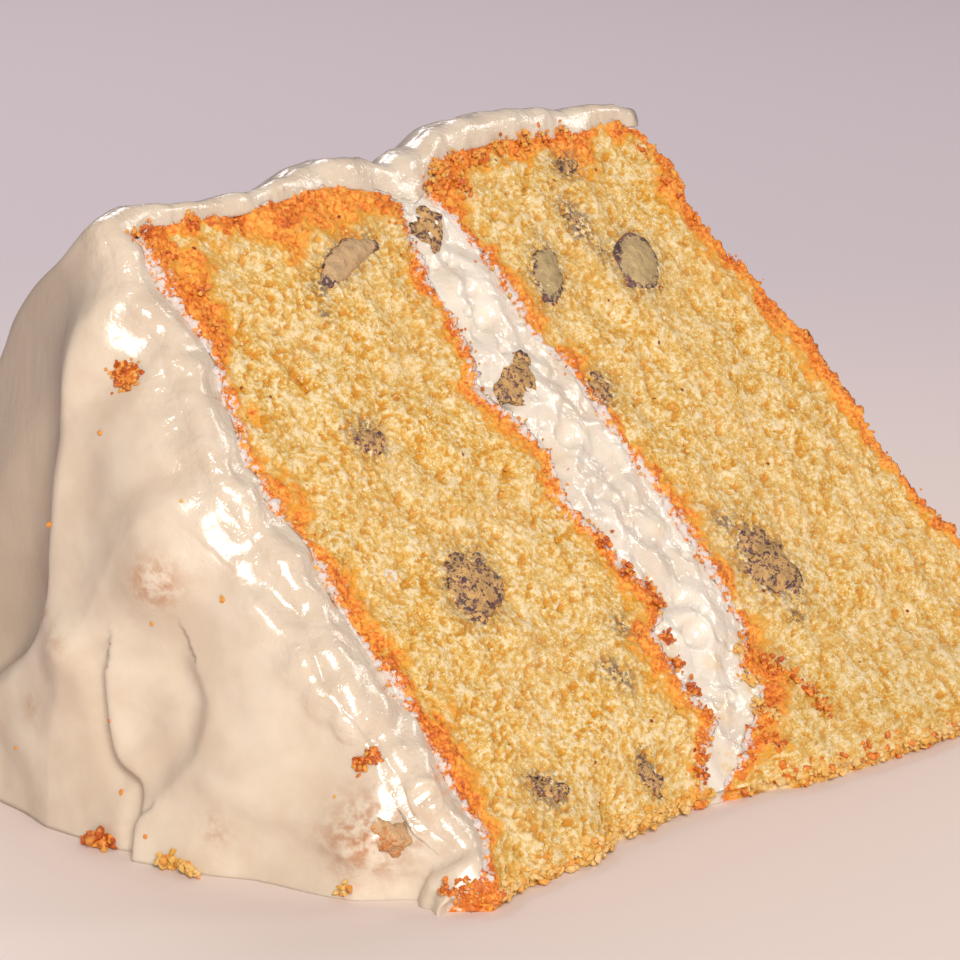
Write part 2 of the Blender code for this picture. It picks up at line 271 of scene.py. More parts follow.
@dataclass(frozen=True)
class Profile:
    """A curve through stations, eased from each to the next.

    Attributes:
        stations: pairs of position and value.
    """

    stations: Stations

    def read(self, position: np.ndarray) -> np.ndarray:
        """Values at positions.

        Args:
            position: where to read the curve.

        Returns:
            The values, held level past the ends.
        """
        places = np.array([station[0] for station in self.stations], float)
        values = np.array([station[1] for station in self.stations], float)
        position = np.clip(position, places[0], places[-1])
        step = np.clip(np.searchsorted(places, position, side="left") - 1, 0, len(places) - 2)
        share = (position - places[step]) / (places[step + 1] - places[step])
        return mix(values[step], values[step + 1], mix(share, ease(share), 0.5))


@dataclass(frozen=True)
class Ridge:
    """A spatula ridge on the iced top.

    Attributes:
        points: the crest's line as pairs of Y and Z.
        crest: its height.
        near: how far it falls off on its right-hand side.
        far: how far it falls off on its left-hand side.
        hollow: depth of the trough on its left-hand side.
    """

    points: Stations
    crest: float
    near: float
    far: float
    hollow: float

    def height(self, y: np.ndarray, z: np.ndarray) -> np.ndarray:
        """Height that the ridge adds at places on the iced top.

        Args:
            y: Y of the places.
            z: Z of the places.

        Returns:
            The heights in millimetres.
        """
        distance = line_distance(smooth_line(self.points), y, z)
        reach = np.where(distance > 0.0, self.far, self.near)
        height = self.crest * np.exp(-(np.abs(distance) / reach) ** 1.6)
        beyond = (distance - 2.2 * self.far) / (1.6 * self.far)
        return height - self.hollow * np.exp(-beyond ** 2)


@dataclass(frozen=True)
class SliceForm:
    """The sizes of the slice that all of its solids share.

    Attributes:
        angle: angle between the two cuts.
        tip_radius: distance at which the tip is broken off.
        pan_radius: radius of the baking pan.
        centre_x: X of the slice's centre on the floor, from the tip edge's frame.
        centre_y: Y of the same.
        upper_start: iced side of the upper sponge.
        upper_end: filling side of the upper sponge.
        lower_start: filling side of the lower sponge.
        lower_end: bare base of the cake.
        crumb_rim: outer radius of the crumb along X.
        tip_edge: Y of the ragged tip edge along X.
        tip_reach: how far the tip's shift fades out.
        crust_relief: unevenness of the browned rim.
        layer_wave: waviness of the layers inside the cake.
        tip_relief: raggedness of the tip edge.
        cut_relief: unevenness of the crumb in the upper cut.
    """

    angle: float = math.radians(51.0)
    tip_radius: float = 1.9
    pan_radius: float = 76.0
    centre_x: float = 42.3
    centre_y: float = 40.1
    upper_start: Profile = Profile((
        (2, -3.0), (4, -0.5), (7, 3.2), (20, 3.3), (30, 1.8), (40, 1.0), (50, -0.6), (60, 2.0),
        (64, 2.6), (70, 0.8), (76, 0.6)))
    upper_end: Profile = Profile((
        (2, 36.5), (6, 39.0), (10, 42.3), (15, 40.4), (21, 40.6), (24, 44.6), (30, 41.6), (38, 39.0),
        (43, 40.0), (48, 37.8), (50, 35.2), (57, 37.2), (70, 37.7), (76, 39.6)))
    lower_start: Profile = Profile((
        (2, 39.2), (6, 44.5), (11, 51.0), (14, 50.5), (17, 54.0), (25, 53.4), (35, 52.8), (44, 50.6),
        (50, 50.0), (56, 47.6), (66, 46.8), (71, 45.4), (76, 43.4)))
    lower_end: Profile = Profile((
        (2, 97.0), (19, 95.2), (27, 92.0), (38, 90.6), (45, 89.8), (55, 86.6), (60, 83.8), (65, 82.4),
        (69, 84.0), (73, 82.8), (78, 81.4)))
    crumb_rim: Profile = Profile((
        (0, 75.4), (4, 76.6), (16, 76.4), (30, 77.4), (37, 76.2), (41, 73.8), (45, 75.4), (50, 78.2),
        (58, 78.6), (72, 78.2), (82, 77.4)))
    tip_edge: Profile = Profile((
        (-3, 2.6), (0, 0.0), (5, 1.4), (18, 1.6), (24, 3.8), (38, 3.8), (46, 1.8), (50, 0.0),
        (64, -1.8), (97, -2.6)))
    tip_reach: float = 12.0
    crust_relief: Relief = Relief(0.8, 9.0, 0.1)
    layer_wave: Relief = Relief(0.9, 15.0, 0.1)
    tip_relief: Relief = Relief(0.7, 4.0, 0.3)
    cut_relief: Relief = Relief(0.6, 5.0, 0.5)

    def boundary(self, profile: Profile, radius: np.ndarray, turn: np.ndarray) -> np.ndarray:
        """X of a boundary between layers.

        Args:
            profile: the boundary as the upper cut shows it.
            radius: distance from the tip edge.
            turn: share of the slice angle.

        Returns:
            X in millimetres.
        """
        inside = ease((1.0 - turn) * 3.0) * ease(radius / 15.0)
        wave = self.layer_wave.at(profile.stations[-1][1], radius, turn * 50.0)
        return profile.read(radius) + inside * wave

    def rim(self, x: np.ndarray, turn: np.ndarray) -> np.ndarray:
        """Distance of the browned rim from the tip edge.

        Args:
            x: place along the cake's axis.
            turn: share of the slice angle.

        Returns:
            The radius in millimetres.
        """
        return self.crumb_rim.read(x) + self.crust_relief.at(x, turn * TURN_SPAN, 4.0)

    def swell(self, x: np.ndarray, radius: np.ndarray) -> np.ndarray:
        """Height of the crumb's unevenness in the upper cut.

        Args:
            x: place along the cake's axis.
            radius: distance from the tip edge.

        Returns:
            The heights in millimetres.
        """
        return self.cut_relief.at(x, radius, 2.0) * ease(radius / 14.0)

    def points(self, x: np.ndarray, radius: np.ndarray, turn: np.ndarray) -> np.ndarray:
        """Places in the part's own frame.

        Args:
            x: place along the cake's axis.
            radius: distance from the tip edge.
            turn: share of the slice angle.

        Returns:
            One row of metres for each place.
        """
        edge = self.tip_edge.read(x) + self.tip_relief.at(x, 0.0, 9.0) - self.tip_radius
        shift = edge * (1.0 - ease((radius - self.tip_radius) / self.tip_reach))
        angle = turn * self.angle
        y = radius * np.cos(angle) + shift
        z = radius * np.sin(angle)
        return np.stack([x - self.centre_x, y - self.centre_y, z], axis=-1) * MM

    def cut_normal(self) -> Vector:
        """The direction that the upper cut faces."""
        return Vector((0.0, -math.sin(self.angle), math.cos(self.angle)))

    def on_cut(self, x: float, radius: float, height: float = 0.0) -> Vector:
        """A place on the upper cut.

        Args:
            x: place along the cake's axis.
            radius: distance from the tip edge.
            height: height over the crumb there.

        Returns:
            The place in metres, in the part's own frame.
        """
        where = (np.array([x]), np.array([radius]))
        row = self.points(*where, np.array([1.0]))[0]
        return Vector(row) + self.cut_normal() * (height + self.swell(*where)[0]) * MM


FORM = SliceForm()


class Recipe:
    """One material's nodes, added from the texture towards the shader."""

    def __init__(self, name: str) -> None:
        """Start a material.

        Args:
            name: the material's name.
        """
        self.material = bpy.data.materials.new(name)
        self.material.use_nodes = True
        self.tree = self.material.node_tree
        self.tree.nodes.clear()
        self.shader = self.tree.nodes.new("ShaderNodeBsdfPrincipled")
        output = self.tree.nodes.new("ShaderNodeOutputMaterial")
        self.tree.links.new(self.shader.outputs["BSDF"], output.inputs["Surface"])
        self.place = self.tree.nodes.new("ShaderNodeTexCoord").outputs["Object"]

    def noise(self, size: float, detail: float = 3.0, rough: float = 0.5,
              stretch: tuple[float, float, float] = (1, 1, 1), drift: float = 0.0):
        """A cloudy pattern.

        Args:
            size: rough size of a cloud in millimetres.
            detail: how many finer layers it has.
            rough: weight of the finer layers.
            stretch: how many times longer it is along each axis.
            drift: a shift, so that two patterns differ.

        Returns:
            A socket with values from 0 to 1.
        """
        mapping = self.tree.nodes.new("ShaderNodeMapping")
        mapping.inputs["Location"].default_value = (drift, drift * 0.7, drift * 1.3)
        mapping.inputs["Scale"].default_value = tuple(1.0 / (size * MM * side) for side in stretch)
        self.tree.links.new(self.place, mapping.inputs["Vector"])
        node = self.tree.nodes.new("ShaderNodeTexNoise")
        node.inputs["Scale"].default_value = 1.0
        node.inputs["Detail"].default_value = detail
        node.inputs["Roughness"].default_value = rough
        self.tree.links.new(mapping.outputs["Vector"], node.inputs["Vector"])
        return node.outputs["Fac"]

    def cells(self, size: float):
        """A pattern of cells.

        Args:
            size: rough size of a cell in millimetres.

        Returns:
            A socket with the distance from the middle of the cell.
        """
        node = self.tree.nodes.new("ShaderNodeTexVoronoi")
        node.inputs["Scale"].default_value = 1.0 / (size * MM)
        self.tree.links.new(self.place, node.inputs["Vector"])
        return node.outputs["Distance"]

    def distance(self):
        """Distance from the slice's centre on the floor, in metres.

        Returns:
            A socket with the distances.
        """
        node = self.tree.nodes.new("ShaderNodeVectorMath")
        node.operation = "LENGTH"
        self.tree.links.new(self.place, node.inputs[0])
        return node.outputs["Value"]

    def attribute(self, name: str):
        """A value that is stored on the piece's points.

        Args:
            name: the attribute's name.

        Returns:
            A socket with the values.
        """
        node = self.tree.nodes.new("ShaderNodeAttribute")
        node.attribute_name = name
        return node.outputs["Fac"]

    def between(self, value, low: float, high: float, start: float = 0.0, end: float = 1.0):
        """A smooth step of a value.

        Args:
            value: the socket to read.
            low: where the step starts.
            high: where the step ends.
            start: result at and before low.
            end: result at and after high.

        Returns:
            A socket with the stepped values.
        """
        node = self.tree.nodes.new("ShaderNodeMapRange")
        node.interpolation_type = "SMOOTHSTEP"
        node.inputs["From Min"].default_value = low
        node.inputs["From Max"].default_value = high
        node.inputs["To Min"].default_value = start
        node.inputs["To Max"].default_value = end
        self.tree.links.new(value, node.inputs["Value"])
        return node.outputs["Result"]

    def combine(self, operation: str, first, second):
        """Arithmetic on two sockets or on a socket and a number.

        Args:
            operation: the name of Blender's math operation.
            first: a socket.
            second: a socket or a number.

        Returns:
            A socket with the result.
        """
        node = self.tree.nodes.new("ShaderNodeMath")
        node.operation = operation
        self.tree.links.new(first, node.inputs[0])
        if isinstance(second, (int, float)):
            node.inputs[1].default_value = second
        else:
            self.tree.links.new(second, node.inputs[1])
        return node.outputs["Value"]

    def add(self, *parts):
        """A weighted sum.

        Args:
            parts: pairs of a socket and its weight.

        Returns:
            A socket with the sum.
        """
        total = None
        for value, weight in parts:
            weighted = self.combine("MULTIPLY", value, weight)
            total = weighted if total is None else self.combine("ADD", total, weighted)
        return total

    def ramp(self, value, *stops: tuple[float, Colour]):
        """Colours along a value.

        Args:
            value: the socket to read.
            stops: pairs of position and sRGB colour.

        Returns:
            A colour socket.
        """
        node = self.tree.nodes.new("ShaderNodeValToRGB")
        marks = node.color_ramp.elements
        while len(marks) < len(stops):
            marks.new(0.5)
        for mark, (position, colour) in zip(marks, stops):
            mark.position = position
            mark.color = linear(colour)
        self.tree.links.new(value, node.inputs["Fac"])
        return node.outputs["Color"]

    def blend(self, share, first, second):
        """One colour over another.

        Args:
            share: a socket from 0, the first, to 1, the second.
            first: a colour socket or an sRGB colour.
            second: a colour socket or an sRGB colour.

        Returns:
            A colour socket.
        """
        node = self.tree.nodes.new("ShaderNodeMix")
        node.data_type = "RGBA"
        self.tree.links.new(share, node.inputs["Factor"])
        for side, colour in (("A", first), ("B", second)):
            socket = [s for s in node.inputs if s.name == side and s.type == "RGBA"][0]
            if isinstance(colour, tuple):
                socket.default_value = linear(colour)
            else:
                self.tree.links.new(colour, socket)
        return [s for s in node.outputs if s.type == "RGBA"][0]

    def bump(self, height, depth: float, strength: float = 1.0, under=None):
        """Fine relief from a value.

        Args:
            height: the socket with the heights.
            depth: height of the relief in millimetres.
            strength: how strongly it shows.
            under: normal socket of a coarser relief below it.

        Returns:
            A normal socket.
        """
        node = self.tree.nodes.new("ShaderNodeBump")
        node.inputs["Distance"].default_value = depth * MM
        node.inputs["Strength"].default_value = strength
        self.tree.links.new(height, node.inputs["Height"])
        if under is not None:
            self.tree.links.new(under, node.inputs["Normal"])
        return node.outputs["Normal"]

    def finish(self, colour, roughness, normal=None) -> bpy.types.Material:
        """Feed the shader.

        Args:
            colour: colour socket.
            roughness: a socket or a number.
            normal: normal socket.

        Returns:
            The finished material.
        """
        self.tree.links.new(colour, self.shader.inputs["Base Color"])
        if isinstance(roughness, (int, float)):
            self.shader.inputs["Roughness"].default_value = roughness
        else:
            self.tree.links.new(roughness, self.shader.inputs["Roughness"])
        if normal is not None:
            self.tree.links.new(normal, self.shader.inputs["Normal"])
        return self.material

    def soften(self, weight: float, reach: float, tint: tuple[float, float, float]) -> None:
        """Let light through the surface.

        Args:
            weight: share of the light that goes in.
            reach: how far it goes, in millimetres.
            tint: relative reach of red, green and blue.
        """
        self.shader.inputs["Subsurface Weight"].default_value = weight
        self.shader.inputs["Subsurface Radius"].default_value = tint
        self.shader.inputs["Subsurface Scale"].default_value = reach * MM

    def glaze(self, share, roughness: float) -> None:
        """Lay a thin glossy film over the surface.

        Args:
            share: socket with the film's strength.
            roughness: roughness of the film.
        """
        self.tree.links.new(share, self.shader.inputs["Coat Weight"])
        self.shader.inputs["Coat Roughness"].default_value = roughness


@dataclass(frozen=True)
class CrumbFinish:
    """Golden butter crumb with a browned crust and a film of cream at its edges.

    Attributes:
        pit: colour deep in the pores, darker and more amber as painted shade.
        body: colour of the crumb.
        top: colour of the grains' tops, paler partly as painted light.
        painted_glint: colour of painted highlights, white specks that stand in for glints on single
            grains.
        faded: colour of its paler patches.
        golden: colour between crumb and crust.
        crust: colours of the crust from light to dark.
        skin: colour of the nut skin in the crumb.
        speck: colour of the dark specks.
        cream: colour of the smeared cream.
    """

    pit: Colour = (206, 136, 6)
    body: Colour = (220, 180, 90)
    top: Colour = (240, 216, 172)
    painted_glint: Colour = (246, 234, 214)
    faded: Colour = (226, 192, 130)
    golden: Colour = (224, 154, 30)
    crust: tuple[Colour, Colour, Colour] = ((244, 172, 70), (228, 118, 24), (148, 56, 14))
    skin: Colour = (92, 70, 72)
    speck: Colour = (140, 54, 20)
    cream: Colour = (224, 210, 204)

    def make(self, name: str) -> bpy.types.Material:
        """The material.

        Args:
            name: its name.

        Returns:
            A node material that reads the attributes depth, crust, cream and stain.
        """
        recipe = Recipe(name)
        grain = recipe.noise(0.32, 4.0, 0.7)
        # Painted shade: the tone runs from pale grain tops to amber pores by how deep each place
        # lies, mixed with random grain tone.
        level = recipe.add((recipe.attribute("depth"), 0.50), (grain, 0.74))
        crumb = recipe.ramp(level, (0.44, self.top), (0.57, self.body), (0.71, self.pit))
        cloud = recipe.noise(8.0, 2.0, 0.5)
        crumb = recipe.blend(recipe.between(cloud, 0.35, 0.75, 0.0, 0.25), crumb, self.faded)
        # Painted highlights: white specks scattered by noise stand in for glints on moist grains.
        painted_glint = recipe.between(recipe.noise(0.4, 2.0, 0.6, drift=47.0), 0.63, 0.70, 0.0, 0.8)
        crumb = recipe.blend(painted_glint, crumb, self.painted_glint)
        crust_share = recipe.attribute("crust")
        patch = recipe.noise(1.1, 4.0, 0.7, drift=11.0)
        edge = recipe.add((crust_share, 1.0), (patch, 1.5))
        colour = recipe.blend(recipe.between(edge, 0.86, 1.28, 0.0, 0.9), crumb, self.golden)
        toast = recipe.noise(0.5, 3.0, 0.7, drift=23.0)
        baked = recipe.noise(4.0, 2.0, 0.5, drift=17.0)
        tone = recipe.add((toast, 0.95), (crust_share, 0.10), (baked, 0.38))
        light, middle, dark = self.crust
        crust = recipe.ramp(tone, (0.64, light), (0.80, middle), (0.98, dark))
        colour = recipe.blend(recipe.between(edge, 1.20, 1.42), colour, crust)
        fleck = recipe.between(recipe.noise(0.6, 4.0, 0.7, drift=31.0), 0.46, 0.54)
        stain = recipe.combine("MULTIPLY", recipe.attribute("stain"), fleck)
        colour = recipe.blend(stain, colour, self.skin)
        speck = recipe.combine("MULTIPLY", recipe.between(recipe.cells(4.0), 0.07, 0.05),
                               recipe.between(recipe.noise(7.0, 1.0, 0.5, drift=41.0), 0.5, 0.54))
        colour = recipe.blend(speck, colour, self.speck)
        streak = recipe.noise(1.0, 4.0, 0.75, drift=5.0)
        strand = recipe.add((recipe.attribute("cream"), 0.38), (streak, 1.3))
        film = recipe.between(strand, 0.92, 1.02)
        colour = recipe.blend(film, colour, self.cream)
        finer = recipe.bump(grain, 0.20, 0.8)
        return recipe.finish(colour, recipe.between(film, 0.0, 1.0, 0.48, 0.25), finer)


@dataclass(frozen=True)
class CreamFinish:
    """Buttercream: smooth, pale and softly glossy, stained where nuts and crumbs shine through.

    Attributes:
        light: its palest colour.
        shade: its warmer, deeper colour.
        painted_hollow_shade: painted shade, a darker cream laid in the dragged hollow where its slope
            turns away from the light.
        stain: colour where a nut or crust shines through.
        gloss: roughness of the smooth surface.
        wet: roughness where a knife has pulled it.
    """

    light: Colour = (222, 206, 186)
    shade: Colour = (208, 188, 166)
    painted_hollow_shade: Colour = (182, 164, 146)
    stain: Colour = (176, 116, 70)
    gloss: float = 0.36
    wet: float = 0.15

    def make(self, name: str) -> bpy.types.Material:
        """The material.

        Args:
            name: its name.

        Returns:
            A node material that reads the attributes wet, drag_and_shade and stain.
        """
        recipe = Recipe(name)
        cloud = recipe.noise(7.0, 3.0, 0.55)
        colour = recipe.blend(recipe.between(cloud, 0.3, 0.72), self.light, self.shade)
        drag_and_shade = recipe.attribute("drag_and_shade")
        # Painted shade: the cream darkens where the long hollow stroke is deep, standing in for the
        # shade on its slope turned from the light.
        colour = recipe.blend(drag_and_shade, colour, self.painted_hollow_shade)
        patch = recipe.between(recipe.noise(1.4, 3.0, 0.6, drift=3.0), 0.36, 0.66)
        stain = recipe.combine("MULTIPLY", recipe.attribute("stain"), patch)
        colour = recipe.blend(stain, colour, self.stain)
        wet = recipe.attribute("wet")
        lumps = recipe.combine("MULTIPLY", recipe.noise(2.2, 3.0, 0.5, drift=9.0), wet)
        beads = recipe.combine("MULTIPLY", recipe.noise(0.8, 2.0, 0.6, drift=33.0), wet)
        rolled = recipe.bump(beads, 0.22, 0.6, under=recipe.bump(lumps, 0.6, 0.6))
        ripple = recipe.bump(recipe.noise(3.2, 2.0, 0.5, drift=13.0), 0.35, 0.3, under=rolled)
        drawn = recipe.noise(0.55, 3.0, 0.6, stretch=(1.0, 1.0, 12.0), drift=15.0)
        dragged = recipe.bump(recipe.combine("MULTIPLY", drawn, drag_and_shade), 0.12, 0.6, under=ripple)
        grain = recipe.bump(recipe.noise(0.30, 2.0, 0.5), 0.04, 0.5, under=dragged)
        recipe.soften(0.3, 2.0, (1.0, 0.72, 0.48))
        recipe.glaze(recipe.between(wet, 0.0, 1.0, 0.05, 0.65), 0.2)
        return recipe.finish(colour, recipe.between(wet, 0.0, 1.0, self.gloss, self.wet), grain)


class NutLook(Enum):
    """How a nut piece shows.

    Each value holds the low and high limit of the skin's cover, the outline's weight in it and
    the colour of what lies between the skin's patches.
    """

    LACY = (0.52, 0.58, 0.06, (212, 166, 104))
    OUTLINED = (0.82, 0.93, 0.60, (196, 168, 118))
    PALE = (0.92, 1.02, 0.60, (210, 172, 126))
    COVERED = (0.58, 0.76, 0.20, (216, 172, 124))


@dataclass(frozen=True)
class NutFinish:
    """A piece of nut: dark skin in broken patches over a tan inside.

    Attributes:
        look: how it shows.
        skin: colour of the skin.
        deep: darkest colour of the skin.
        worn: palest colour of the skin.
    """

    look: NutLook
    skin: Colour = (92, 66, 68)
    deep: Colour = (52, 40, 52)
    worn: Colour = (150, 94, 68)

    def make(self, name: str) -> bpy.types.Material:
        """The material.

        Args:
            name: its name.

        Returns:
            A node material that reads the attribute outline.
        """
        recipe = Recipe(name)
        patch = recipe.noise(0.8, 4.0, 0.7, drift=2.0)
        skin = recipe.ramp(patch, (0.34, self.deep), (0.50, self.skin), (0.66, self.worn))
        low, high, weight, between = self.look.value
        mottle = recipe.noise(1.3, 3.0, 0.6, drift=7.0)
        darker = tuple(0.84 * channel for channel in between)
        inside = recipe.blend(recipe.between(mottle, 0.3, 0.7), between, darker)
        cover = recipe.add((recipe.attribute("outline"), weight),
                           (recipe.noise(0.55, 4.0, 0.7, drift=19.0), 1.0))
        colour = recipe.blend(recipe.between(cover, low, high), inside, skin)
        relief = recipe.bump(patch, 0.4, 0.9)
        return recipe.finish(colour, 0.45, relief)


@dataclass(frozen=True)
class LooseFinish:
    """Crumbs broken off the cake.

    Attributes:
        pale: colour of the crumb inside.
        warm: colour between them.
        brown: colour of the crust.
        dark: darkest colour of the crust.
    """

    pale: Colour = (228, 198, 140)
    warm: Colour = (220, 168, 76)
    brown: Colour = (226, 130, 48)
    dark: Colour = (184, 84, 22)

    def make(self, name: str) -> bpy.types.Material:
        """The material.

        Args:
            name: its name.

        Returns:
            A node material that reads the attribute brown.
        """
        recipe = Recipe(name)
        lot = recipe.add((recipe.attribute("brown"), 1.0), (recipe.noise(0.7, 3.0, 0.7), 0.6))
        colour = recipe.ramp(lot, (0.22, self.pale), (0.52, self.warm), (0.86, self.brown),
                             (1.0, self.dark))
        relief = recipe.bump(recipe.noise(0.3, 3.0, 0.6), 0.15, 0.8)
        return recipe.finish(colour, 0.45, relief)


@dataclass(frozen=True)
class FloorFinish:
    """A plain pale studio floor that turns cooler away from the cake.

    Attributes:
        near: its colour at the cake.
        far: its colour in the distance.
    """

    near: Colour = (232, 216, 208)
    far: Colour = (214, 201, 204)

    def make(self, name: str) -> bpy.types.Material:
        """The material.

        Args:
            name: its name.

        Returns:
            A node material with a faint cloudiness.
        """
        recipe = Recipe(name)
        cloud = recipe.noise(90.0, 2.0, 0.5)
        away = recipe.add((recipe.distance(), 1.0), (cloud, 0.01))
        colour = recipe.blend(recipe.between(away, 0.07, 0.30), self.near, self.far)
        return recipe.finish(colour, 0.7)


def turned_block(along: int, across: int, turns: int) -> bmesh.types.BMesh:
    """A unit wedge: a fine grid on the upper cut, walls turned about X and a flat foot.

    Args:
        along: cells along X.
        across: cells away from the axis.
        turns: steps of the turn.

    Returns:
        A closed bmesh, with X from 0 to 1 and the distance from the axis from 1 to 2.
    """
    block = bmesh.new()
    bmesh.ops.create_grid(block, x_segments=along, y_segments=across, size=0.5)
    bmesh.ops.translate(block, verts=block.verts, vec=(0.5, 1.5, 0.0))
    bmesh.ops.rotate(block, verts=block.verts, cent=(0, 0, 0),
                     matrix=Matrix.Rotation(FORM.angle, 3, "X"))
    edges = [edge for edge in block.edges if edge.is_boundary]
    swept = bmesh.ops.spin(block, geom=edges, cent=(0, 0, 0), axis=(1, 0, 0), dvec=(0, 0, 0),
                           angle=-FORM.angle, steps=turns, use_merge=False, use_duplicate=False)
    foot = [item for item in swept["geom_last"] if isinstance(item, bmesh.types.BMEdge)]
    bmesh.ops.edgeloop_fill(block, edges=foot)
    bmesh.ops.recalc_face_normals(block, faces=block.faces[:])
    return block


@dataclass
class Sheet:
    """Points of a turned block while it is carved.

    Attributes:
        mesh: the mesh that is carved.
        along: share along X of each point.
        across: share away from the axis.
        turn: share of the slice angle.
    """

    mesh: bpy.types.Mesh
    along: np.ndarray
    across: np.ndarray
    turn: np.ndarray

    @classmethod
    def from_block(cls, name: str, block: bmesh.types.BMesh, crowd: float) -> "Sheet":
        """Read the shares off a turned block.

        Args:
            name: name of the mesh.
            block: the unit wedge, which is freed.
            crowd: how strongly the turns crowd towards the upper cut.

        Returns:
            The sheet.
        """
        mesh = bpy.data.meshes.new(name)
        block.to_mesh(mesh)
        block.free()
        spots = np.empty(len(mesh.vertices) * 3, np.float32)
        mesh.vertices.foreach_get("co", spots)
        x, y, z = spots.reshape(-1, 3).astype(float).T
        across = np.clip(np.hypot(y, z) - 1.0, 0.0, 1.0)
        turn = np.clip(np.arctan2(z, y) / FORM.angle, 0.0, 1.0)
        turn = np.where(turn > 1.0 - 1e-4, 1.0, np.where(turn < 1e-4, 0.0, turn))
        return cls(mesh, np.clip(x, 0.0, 1.0), across, 1.0 - (1.0 - turn) ** crowd)

    def place(self, points: np.ndarray) -> None:
        """Move the points.

        Args:
            points: one row of metres for each point.
        """
        self.mesh.vertices.foreach_set("co", points.astype(np.float32).ravel())
        self.mesh.update()

    def push(self, heights: np.ndarray) -> None:
        """Move the points along the surface's own direction.

        Args:
            heights: how far each goes, in millimetres.
        """
        spots = np.empty(len(self.mesh.vertices) * 3, np.float32)
        ways = np.empty(len(self.mesh.vertices) * 3, np.float32)
        self.mesh.vertices.foreach_get("co", spots)
        self.mesh.vertices.foreach_get("normal", ways)
        moved = spots.reshape(-1, 3) + ways.reshape(-1, 3) * (heights * MM)[:, None]
        moved[:, 2] = np.maximum(moved[:, 2], 0.0)
        self.place(moved)

    def store(self, name: str, values: np.ndarray) -> None:
        """Keep a value on each point for the material.

        Args:
            name: the attribute's name.
            values: one value for each point.
        """
        layer = self.mesh.attributes.new(name, "FLOAT", "POINT")
        layer.data.foreach_set("value", np.clip(values, 0.0, 1.0).astype(np.float32))

    def dress(self, name: str, material: bpy.types.Material, slot: str,
              *nodes: str) -> bpy.types.Object:
        """Make the piece from the mesh.

        Args:
            name: the piece's name.
            material: its material.
            slot: handed on to show.
            nodes: the solids that it stands for.

        Returns:
            The piece.
        """
        self.mesh.shade_smooth()
        self.mesh.materials.append(material)
        return show(name, self.mesh, slot, *nodes)


def show(name: str, mesh: bpy.types.Mesh, slot: str, *nodes: str) -> bpy.types.Object:
    """Put a finished mesh in the scene as a piece of the cake.

    Args:
        name: the piece's name.
        mesh: its mesh, with its material.
        slot: not used.
        nodes: the solids that it stands for.

    Returns:
        The piece.
    """
    piece = bpy.data.objects.new(name, mesh)
    bpy.context.scene.collection.objects.link(piece)
    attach(piece, "root")
    if nodes:
        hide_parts(*nodes)
    log.info("%s: %d faces", name, len(mesh.polygons))
    return piece


@dataclass(frozen=True)
class NutPlace:
    """A nut piece in the upper cut.

    Attributes:
        node: its node in the solids.
        x: place along the cake's axis.
        radius: distance from the tip edge.
        length: its long side.
        width: its short side.
        turn: its long side's turn from +X towards the rim, in degrees.
        look: how it shows.
    """

    node: str
    x: float
    radius: float
    length: float
    width: float
    turn: float
    look: NutLook

    def nearness(self, x: np.ndarray, radius: np.ndarray, spread: float) -> np.ndarray:
        """How near places on the cut are to the piece.

        Args:
            x: place along the cake's axis.
            radius: distance from the tip edge.
            spread: reach past the piece's outline, in millimetres.

        Returns:
            Values from 0, far, to 1, at its middle.
        """
        angle = math.radians(self.turn)
        off_x, off_r = x - self.x, radius - self.radius
        run = off_x * math.cos(angle) + off_r * math.sin(angle)
        side = -off_x * math.sin(angle) + off_r * math.cos(angle)
        scaled = (run / (self.length / 2 + spread)) ** 2 + (side / (self.width / 2 + spread)) ** 2
        return np.exp(-scaled ** 1.5)


CUT_NUTS = (
    NutPlace("pecan_01", 27.2, 68.8, 11.0, 3.3, 20, NutLook.PALE),
    NutPlace("pecan_02", 16.7, 49.2, 4.9, 4.4, -40, NutLook.LACY),
    NutPlace("pecan_03", 20.0, 31.2, 9.0, 7.4, 48, NutLook.LACY),
    NutPlace("pecan_04", 15.0, 9.2, 5.2, 3.8, -37, NutLook.LACY),
    NutPlace("pecan_05", 30.3, 6.6, 6.2, 2.4, 82, NutLook.LACY),
    NutPlace("pecan_06", 32.4, 17.6, 4.3, 2.6, -57, NutLook.LACY),
    NutPlace("pecan_07", 40.6, 70.2, 7.4, 4.9, 45, NutLook.LACY),
    NutPlace("pecan_08", 41.6, 51.4, 8.0, 7.0, 46, NutLook.LACY),
    NutPlace("pecan_09", 52.4, 47.7, 5.1, 3.4, 44, NutLook.LACY),
    NutPlace("pecan_10", 67.1, 74.4, 4.4, 3.4, 20, NutLook.LACY),
    NutPlace("pecan_11", 54.2, 62.2, 8.2, 4.4, 60, NutLook.OUTLINED),
    NutPlace("pecan_12", 63.2, 67.4, 6.6, 3.4, 95, NutLook.LACY),
    NutPlace("pecan_13", 69.2, 61.2, 8.7, 6.4, 49, NutLook.OUTLINED),
    NutPlace("pecan_14", 62.7, 24.2, 11.6, 8.2, 110, NutLook.LACY),
)

# Flecks of nut skin in the crumb: X, distance from the tip edge and reach.
SKIN_FLECKS = ((21.6, 66.2, 1.6), (19.8, 62.8, 0.9), (62.8, 65.6, 2.0), (64.6, 63.2, 1.6),
               (36.6, 22.4, 1.6), (59.4, 29.6, 1.8), (62.4, 17.4, 1.4))

# A bit of cream in the crumb: X, distance from the tip edge and reach.
CREAM_LUMP = (10.1, 34.6, 0.8)

# Unevenness of all cream in the upper cut, which the solids have too.
CREAM_RELIEF = Relief(1.0, 6.0, 0.5)


